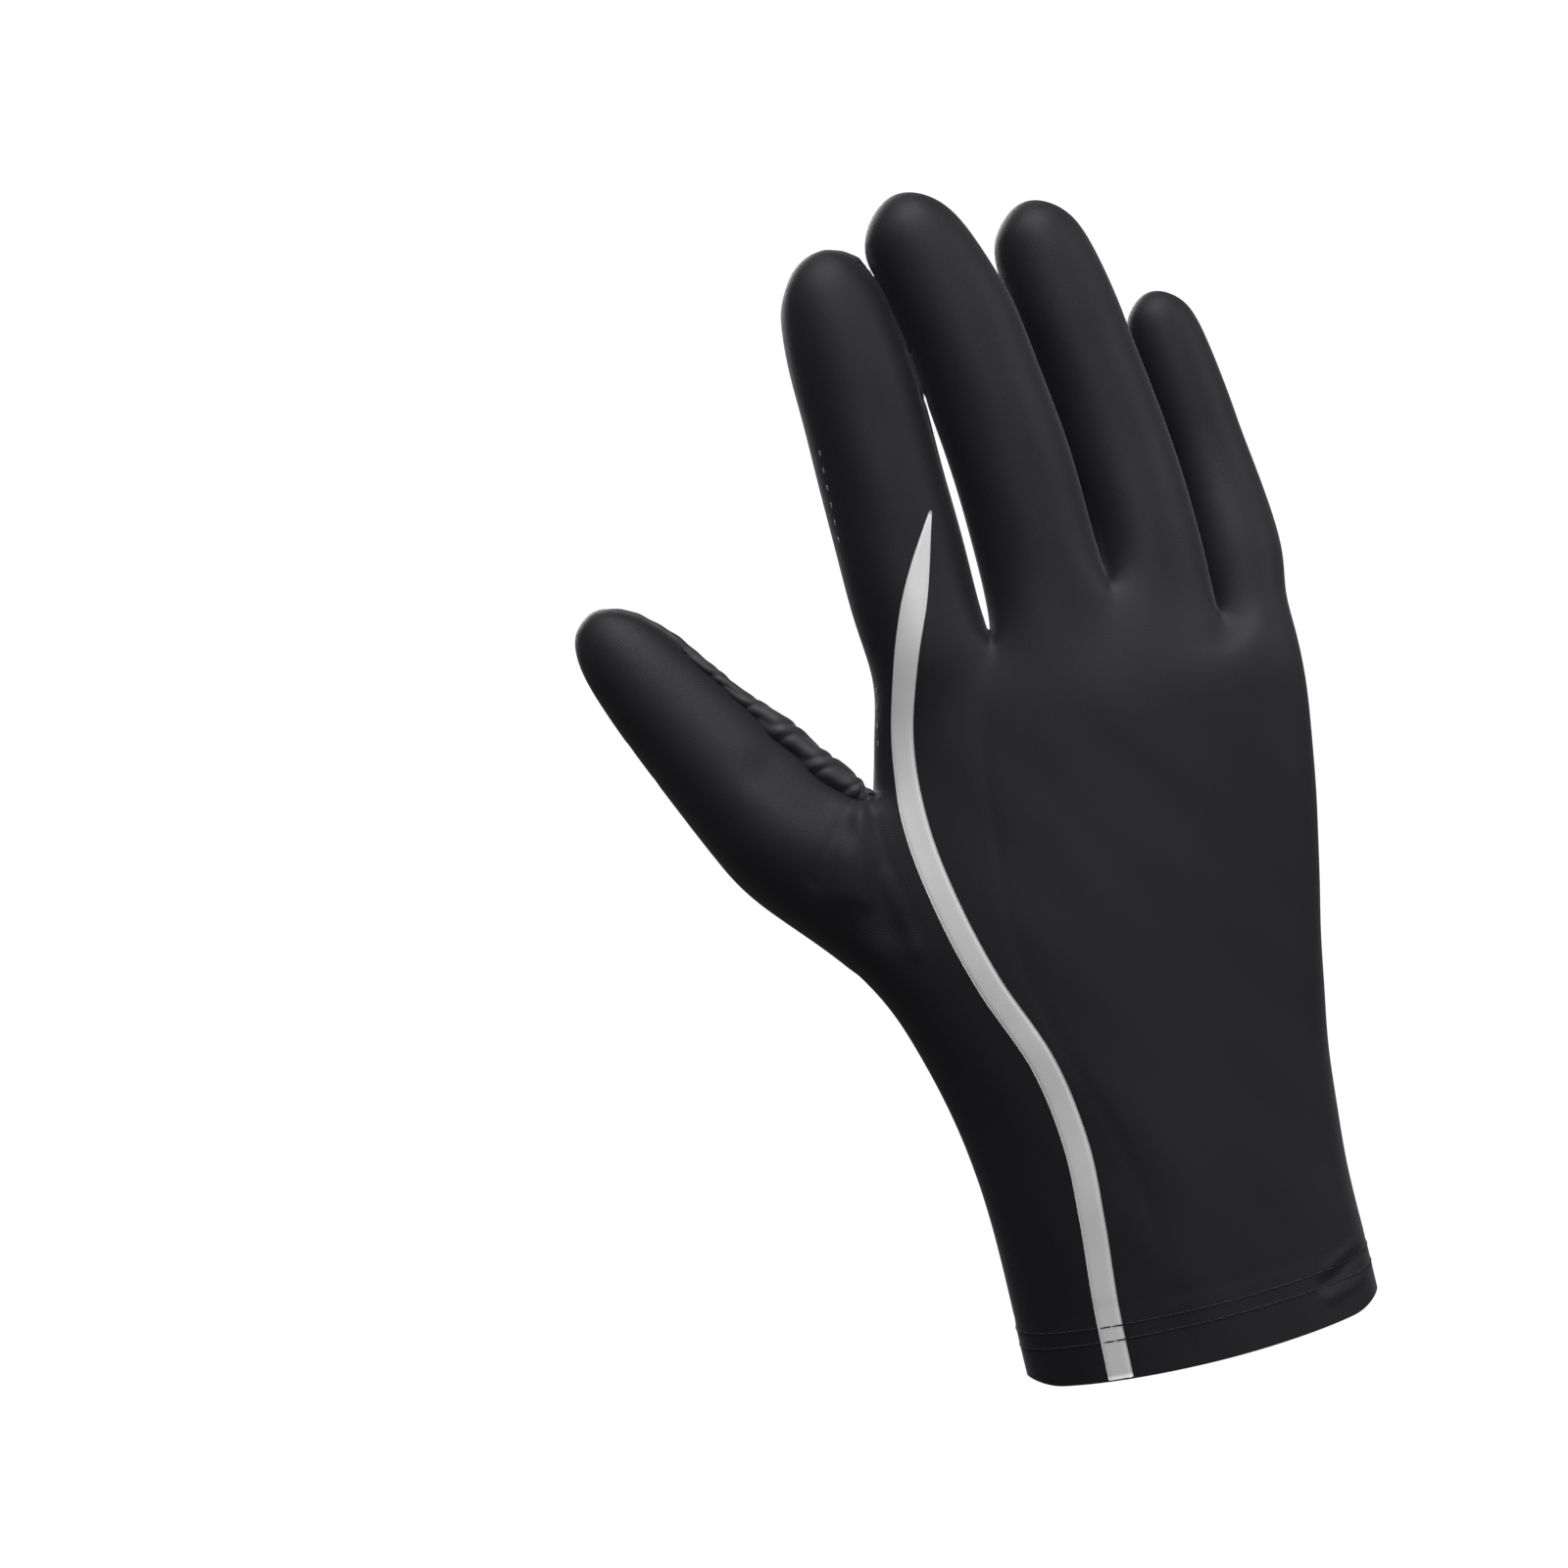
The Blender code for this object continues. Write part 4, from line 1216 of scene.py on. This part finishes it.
# %% The threads
def thread_material(name, colour, roughness):
    """Twisted thread: a fine wave along the piece's own coordinates drives colour and bump."""
    finish = Finish(name)
    twist = finish.node("TexWave", wave_type="BANDS", bands_direction="DIAGONAL")
    finish.put(twist, Vector=finish.on_object, Scale=900.0, Distortion=2.0)
    wave = twist.outputs["Fac"]
    finish.colour(wave, [part * 0.55 for part in colour], colour)
    finish.put(finish.shader, Roughness=roughness)
    finish.relief(wave, strength=0.4, distance=0.05 * mm)
    return finish.material


dark_thread = thread_material("dark_thread", (0.005, 0.005, 0.006), 0.85)
# The pale grey thread is the dark thread drawn lighter where it catches grazing light: painted highlight.
painted_highlight_thread = thread_material("painted_highlight_thread", (0.26, 0.26, 0.27), 0.5)

# %% [markdown]
# ## The cuff's two rows
# The hem is held by two rows of stitches round the wrist. Their height follows the tilt of the photograph's
# rows from the palm to the back, and a row rises over the tape where it crosses it. The thread is dark. On
# the half of the palm where the light grazes it, the stitches are drawn in a pale grey thread instead, a
# painted highlight, so the stitches there are their own lot.

# %% The cuff's rows
# Columns: height, slope towards the palm.
cuff_rows = ((7.6 * mm, 0.105), (10.9 * mm, 0.133))
cuff_step, cuff_lift, row_reach, turn_steps, tape_reach = 2.4 * mm, 0.04 * mm, 1.2 * mm, 181, 0.3 * mm
# Length, width and height of a stitch.
dark_stitch, painted_highlight_stitch = (2.3 * mm, 0.32 * mm, 0.18 * mm), (1.2 * mm, 0.36 * mm, 0.3 * mm)
highlight_from_y, highlight_from_x = 0.25 * cuff_depth, -12 * mm


def spaced(line, step):
    """Points of the line at equal steps along it."""
    run = run_along(line)
    return read_line(np.arange(step / 2, run[-1], step), run, line)


def level_line(height, slope):
    """The ring round the wrist at height + slope * y, read from the skin points near it."""
    near = skin[np.abs(skin[:, 2] - slope * skin[:, 1] - height) < row_reach]
    angle = np.arctan2(near[:, 1], near[:, 0])
    order = np.argsort(angle)
    turn = np.linspace(-np.pi, np.pi, turn_steps)
    radius = np.interp(turn, angle[order], np.linalg.norm(near[order, :2], axis=1), period=2 * np.pi)
    y = radius * np.sin(turn)
    return np.stack([radius * np.cos(turn), y, height + slope * y], axis=1)


def over_tape(places, facing):
    """How far a stitch is lifted where it crosses the tape: the tape's thickness near its middle line."""
    _, gap = nearest_of(places, tape_middle)
    return np.where(gap < stripe_width / 2 + tape_reach, stripe_cloth, 0.0)[:, None] * facing


dark_lots, highlit_stitch_lots = [], []
for height, slope in cuff_rows:
    places, up = laid(spaced(level_line(height, slope), cuff_step))
    along = unit(np.roll(places, -1, axis=0) - np.roll(places, 1, axis=0))
    places = places + up * cuff_lift + over_tape(places, up)
    # Stitches here take the pale grey thread: painted highlight where the light grazes the palm.
    pale = (places[:, 1] > highlight_from_y) & (places[:, 0] > highlight_from_x)
    dark_lots.append(beans(places[~pale], along[~pale], up[~pale], dark_stitch))
    highlit_stitch_lots.append(beans(places[pale], along[pale], up[pale], painted_highlight_stitch))
cuff_stitches = add_piece("cuff_stitches", *joined(dark_lots), dark_thread)

# %% [markdown]
# ## The stitches at the bared fingertips
# The index finger's hem is held by an arc of stitches with a short row of tacks below it, the thumb's hem by
# a row that shows best at its inner end, and a sparse row runs down the index finger's outer side. They are
# few and small, so each is set out by its place across and up the palm or the back.

# %% Hem stitches
# Columns: across and up in mm, lean from upright in degrees, length and width in mm.
index_tacks = np.array(
    [
        (-28.6, 192.2, 80, 1.2, 0.24),
        (-26.2, 191.6, 80, 1.4, 0.26),
        (-23.6, 190.9, 70, 1.0, 0.45),
        (-20.6, 190.5, 75, 1.4, 0.42),
        (-18.3, 190.3, 60, 0.8, 0.55),
        (-16.6, 190.8, 95, 1.2, 0.26),
        (-14.8, 191.6, 105, 1.1, 0.40),
        (-13.1, 192.5, 10, 0.9, 0.48),
        (-16.3, 188.4, 30, 0.6, 0.48),
        (-17.0, 185.5, 0, 0.8, 0.62),
        (-17.8, 181.9, 60, 0.7, 0.60),
        (-17.9, 177.7, 70, 0.8, 0.55),
    ]
)
# Columns: place along the thumb in mm, angle about it in degrees, lean from square, length and width in mm.
thumb_tacks = np.array(
    [
        (33.4, 103, 0, 1.6, 0.30),
        (33.2, 90, 0, 1.7, 0.45),
        (33.1, 81, 0, 1.7, 0.50),
        (33.1, 72, 0, 1.6, 0.42),
        (33.8, 40, 12, 1.2, 0.45),
        (34.0, 33, 35, 1.2, 0.55),
        (33.4, 26, -30, 1.3, 0.55),
        (34.8, 20, 40, 1.2, 0.50),
        (36.8, 12, 80, 1.1, 0.42),
    ]
)
# The two rows down the outer side, from end to end, across and up in mm.
outer_rows = ([(-30.6, 186.0), (-31.2, 167.0)], [(-30.8, 139.0), (-33.8, 125.0)])
outer_step, outer_lift, outer_stitch = 3.4 * mm, 0.04 * mm, (1.2 * mm, 0.26 * mm, 0.22 * mm)
tack_lift, tack_height_share = 0.08 * mm, 0.8


def standing(flat):
    """Places across and up as points in space, at no depth."""
    flat = np.asarray(flat)
    return np.stack([flat[:, 0], 0 * flat[:, 0], flat[:, 1]], axis=1)


def tacks(places, up, level, degrees, length, width):
    """One stitch at each place, turned in the cloth from the level direction by its own angle."""
    level = unit(level - up * (level * up).sum(1, keepdims=True))
    turn = np.radians(degrees)[:, None]
    way = np.cross(up, level) * np.cos(turn) + level * np.sin(turn)
    size = length * mm, width * mm, width * tack_height_share * mm
    return beans(places + up * tack_lift, way, up, size)


places, up = laid(standing(index_tacks[:, :2]) * mm, facing_y=1)
index_lot = tacks(places, up, np.tile([-1.0, 0, 0], (len(up), 1)), *index_tacks[:, 2:].T)
place, angle, lean, length, width = thumb_tacks.T
places, up = laid(on_thumb(place * mm, np.radians(angle)))
thumb_lot = tacks(places, up, np.cross(np.tile(thumb_way, (len(up), 1)), up), 90 + lean, length, width)
outer_lots = []
for row in outer_rows:
    places, up = laid(spaced(standing(row) * mm, outer_step), facing_y=-1)
    outer_lots.append(beans(places + up * outer_lift, unit(np.gradient(places, axis=0)), up, outer_stitch))
# These stitches all use the pale grey thread, whose lightness is painted highlight.
highlit_stitch_lots = [index_lot, thumb_lot, *outer_lots, *highlit_stitch_lots]
fingertip_stitches = add_piece("fingertip_stitches", *joined(highlit_stitch_lots), painted_highlight_thread)

# %% [markdown]
# ## The grip dashes
# The palm carries printed silicone dashes in patches that follow the pads of the hand. Each patch is an
# outline on the palm. A slanted grid of places is laid over all of it, and only those inside the outlines
# are kept, so the rows line up from edge to edge.

# %% The grip patches
# The outlines of the palm's patches, across and up in mm.
palm_patches = [
    [(-47.2, 94.6), (-37.6, 95.5), (-25.7, 92.1), (-15.8, 82.1), (-12.3, 67.3), (-25.8, 69.2), (-37.6, 75.6)],
    [(-10.0, 119.0), (3.0, 122.5), (4.5, 107.0), (-7.0, 104.0)],
    [(13.0, 115.5), (26.5, 112.0), (27.0, 101.5), (15.5, 98.5)],
    [(-31.0, 121.5), (-21.5, 121.5), (-19.8, 108.0), (-29.5, 108.0)],
    [(31.4, 90.2), (39.0, 84.6), (35.0, 62.0), (26.9, 45.3)]
    + [(10.6, 40.4), (5.8, 52.9), (11.3, 64.4), (22.0, 76.0)],
]
# The fingers' patches. Columns: left, right, low and high side in mm.
finger_patches = (
    (-28.5, -19.5, 141.5, 152.0),
    (-0.5, 7.5, 205.0, 216.0),
    (-3.5, 4.5, 175.5, 186.5),
    (-2.0, 5.5, 145.5, 155.5),
    (19.5, 27.0, 168.0, 178.0),
    (18.5, 26.0, 140.0, 150.0),
    (41.5, 48.0, 130.5, 139.5),
)
finger_outlines = [
    [(left, high), (right, high), (right, low), (left, low)] for left, right, low, high in finger_patches
]
dash_pitch, dash_rise, dash_lean, dash_size = 3.3 * mm, 4.1 * mm, np.radians(-12), (2.6 * mm, mm, 0.7 * mm)
dash_columns, dash_rows, dash_pivot = np.arange(-30, 31), np.arange(8, 56), (0, 0.1)


def inside(points, outline):
    """True where a ray to the right crosses the outline an odd number of times."""
    start, end = outline, np.roll(outline, -1, axis=0)
    x, z = points[:, :1], points[:, 1:]
    spans = (start[:, 1] > z) != (end[:, 1] > z)
    height = np.where(end[:, 1] == start[:, 1], 1, end[:, 1] - start[:, 1])
    crossing = start[:, 0] + (z - start[:, 1]) * (end[:, 0] - start[:, 0]) / height
    return (spans & (x < crossing)).sum(1) % 2 == 1


column, row = np.meshgrid(dash_columns, dash_rows)
flat = np.stack([column * dash_pitch, (row + (column % 2) / 2) * dash_rise], axis=-1).reshape(-1, 2)
lean = np.array([[np.cos(dash_lean), -np.sin(dash_lean)], [np.sin(dash_lean), np.cos(dash_lean)]])
flat = (flat - dash_pivot) @ lean.T + dash_pivot
patches = [np.array(patch) * mm for patch in palm_patches + finger_outlines]
flat = flat[np.any([inside(flat, patch) for patch in patches], axis=0)]
dash_places, dash_up = laid(standing(flat), facing_y=1)
dash_way = np.tile([-np.sin(dash_lean), 0, np.cos(dash_lean)], (len(flat), 1))
print("grip dashes:", len(flat))

# %% The silicone
grip = Finish("grip_silicone")
cloudy = grip.noise(700.0)
grip.colour(cloudy, (0.010, 0.010, 0.012), (0.03, 0.03, 0.034))
grip.put(grip.shader, Roughness=grip.calc("ADD", grip.calc("MULTIPLY", cloudy, 0.15), 0.16))
grip.put(grip.shader, Coat_Weight=0.4, Coat_Roughness=0.15)
grip.relief(cloudy, strength=0.2, distance=0.05 * mm)
dash_points, dash_faces = beans(dash_places, dash_way, dash_up, dash_size)
grip_dashes = add_piece("grip_dashes", dash_points, dash_faces, grip.material)

# %% [markdown]
# ## What each piece stands for
# Every new piece rides on the only body. Each of the first eight takes the place of its CAD solid, which is
# hidden.

# %% Attaching the pieces
replaced = {
    palm_knit: ("palm_panel", "stretch_knit"),
    side_knit: ("side_panel", "stretch_knit"),
    back_knit: ("back_panel", "stretch_knit"),
    thumb_knit: ("thumb_panel", "stretch_knit"),
    cuff_fold: ("cuff_hem", "folded_hem"),
    index_hem_fold: ("index_opening_hem", "folded_hem"),
    thumb_hem_fold: ("thumb_opening_hem", "folded_hem"),
    reflective_tape: ("reflective_stripe", "reflective_tape"),
}
for piece, (cad_node, slot_name) in replaced.items():
    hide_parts(cad_node)
    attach(piece, "root")
added = (index_hood_rim, thumb_hood_rim, thumb_web_roll, cuff_stitches, fingertip_stitches, grip_dashes)
for piece in added:
    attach(piece, "root")
print("pieces:", len(replaced) + len(added))

# %% [markdown]
# ## The cut sizes
# The cloth pieces are stretch knit, cut smaller than the worn glove: an eighth less area than they cover
# when worn. The flat size is the rectangle that each pattern piece is cut from, and the area is its own
# share of it. The cuff hem is a strip folded double, and its flat size is that of the folded strip.

# %% Cut sizes
# Each row: the piece, the width and length of its rectangle, how it is held, and the pieces with it.
cut_sizes = (
    (palm_knit, (0.118, 0.222), "stretched", [index_hem_fold, fingertip_stitches, grip_dashes]),
    (side_knit, (0.056, 0.216), "stretched", [reflective_tape, index_hood_rim]),
    (back_knit, (0.092, 0.212), "stretched", []),
    (thumb_knit, (0.084, 0.080), "stretched", [thumb_hem_fold, thumb_hood_rim, thumb_web_roll]),
)
worn_stretch = 1.125


def cloth_area(obj):
    """Half the surface of a thin closed wall, in square metres."""
    return float(read_array(obj.data.polygons, "area").sum() / 2)


for piece, flat_size, held, others in cut_sizes:
    area = cloth_area(piece) / worn_stretch
    print(piece.name, "flat area:", round(area, 5), "square metres")
print("cuff_fold worn area:", round(cloth_area(cuff_fold), 5), "square metres")

# %% [markdown]
# ## Floor, light and camera
# The photograph has a plain white ground with no horizon, so a wide pale floor lies far below the glove and
# the world is as pale. The camera looks straight at the back of the hand, turned 14 degrees about its own
# axis, because the glove leans by that much in the picture.

# %% The white ground
floor_half, floor_drop, ground_white, floor_dim, world_dim = 9, 1.5, 1.04, 0.14, 0.12
floor_corners = np.array([(-1, -1), (1, -1), (1, 1), (-1, 1)]) * floor_half
floor_points = np.column_stack([floor_corners, np.full(4, -floor_drop)])
floor = new_object("floor", new_mesh("floor", floor_points, np.array([[0, 1, 2, 3]])))


def white_ground(tree, output, kind, dim):
    """White for the camera, but dim for the light that reaches the glove, as a far backdrop is."""
    path = tree.nodes.new("ShaderNodeLightPath")
    strength = tree.nodes.new("ShaderNodeMapRange")
    strength.inputs["To Min"].default_value = dim
    strength.inputs["To Max"].default_value = ground_white
    glow = tree.nodes.new("ShaderNode" + kind)
    glow.inputs["Color"].default_value = (1, 1, 1, 1)
    tree.links.new(path.outputs["Is Camera Ray"], strength.inputs["Value"])
    tree.links.new(strength.outputs[0], glow.inputs["Strength"])
    tree.links.new(glow.outputs[0], tree.nodes[output].inputs["Surface"])


pale = bpy.data.materials.new("pale_floor")
pale.use_nodes = True
white_ground(pale.node_tree, "Material Output", "Emission", floor_dim)
floor.data.materials.append(pale)
world = bpy.data.worlds.new("white_room")
world.use_nodes = True
white_ground(world.node_tree, "World Output", "Background", world_dim)
scene.world = world
scene.view_settings.view_transform = "Standard"


# %% The lights
def soft_light(name, place, target, size, power):
    """A square area light at a place, turned to face the target."""
    light = bpy.data.lights.new(name, "AREA")
    light.shape, light.size, light.energy = "SQUARE", size, power
    obj = new_object(name, light)
    way = Vector(target) - Vector(place)
    obj.location, obj.rotation_euler = place, way.to_track_quat("-Z", "Y").to_euler()


# Columns: name, place, target, size in metres, power in watts.
lights = (
    ("key_light", (0.2, -1.7, 0.7), (-0.02, 0, 0.13), 0.9, 13),
    ("right_light", (1.4, -0.4, 0.6), (-0.02, 0, 0.13), 0.8, 12),
    ("top_light", (0.1, -0.5, 1.6), (-0.02, 0, 0.15), 0.8, 31),
    ("palm_light", (-0.5, 1.5, 0.9), (-0.02, 0, 0.13), 0.8, 22),
)
for light in lights:
    soft_light(*light)
print("lights:", len(lights))

# %% The camera
lens, sensor, frame_width, turn = 135, 36, 0.304, np.radians(14)
centre_x, centre_z, distance = -52.8 * mm, 124.2 * mm, frame_width * lens / sensor
camera_data = bpy.data.cameras.new("camera")
camera_data.lens, camera_data.sensor_width = lens, sensor
camera = new_object("camera", camera_data)
right, up = (np.cos(turn), 0, -np.sin(turn)), (np.sin(turn), 0, np.cos(turn))
camera.matrix_world = Matrix(
    [
        (right[0], up[0], 0, centre_x),
        (right[1], up[1], -1, -distance),
        (right[2], up[2], 0, centre_z),
        (0, 0, 0, 1),
    ]
)
scene.camera = camera
print("camera stands", round(distance, 3), "m from the glove")
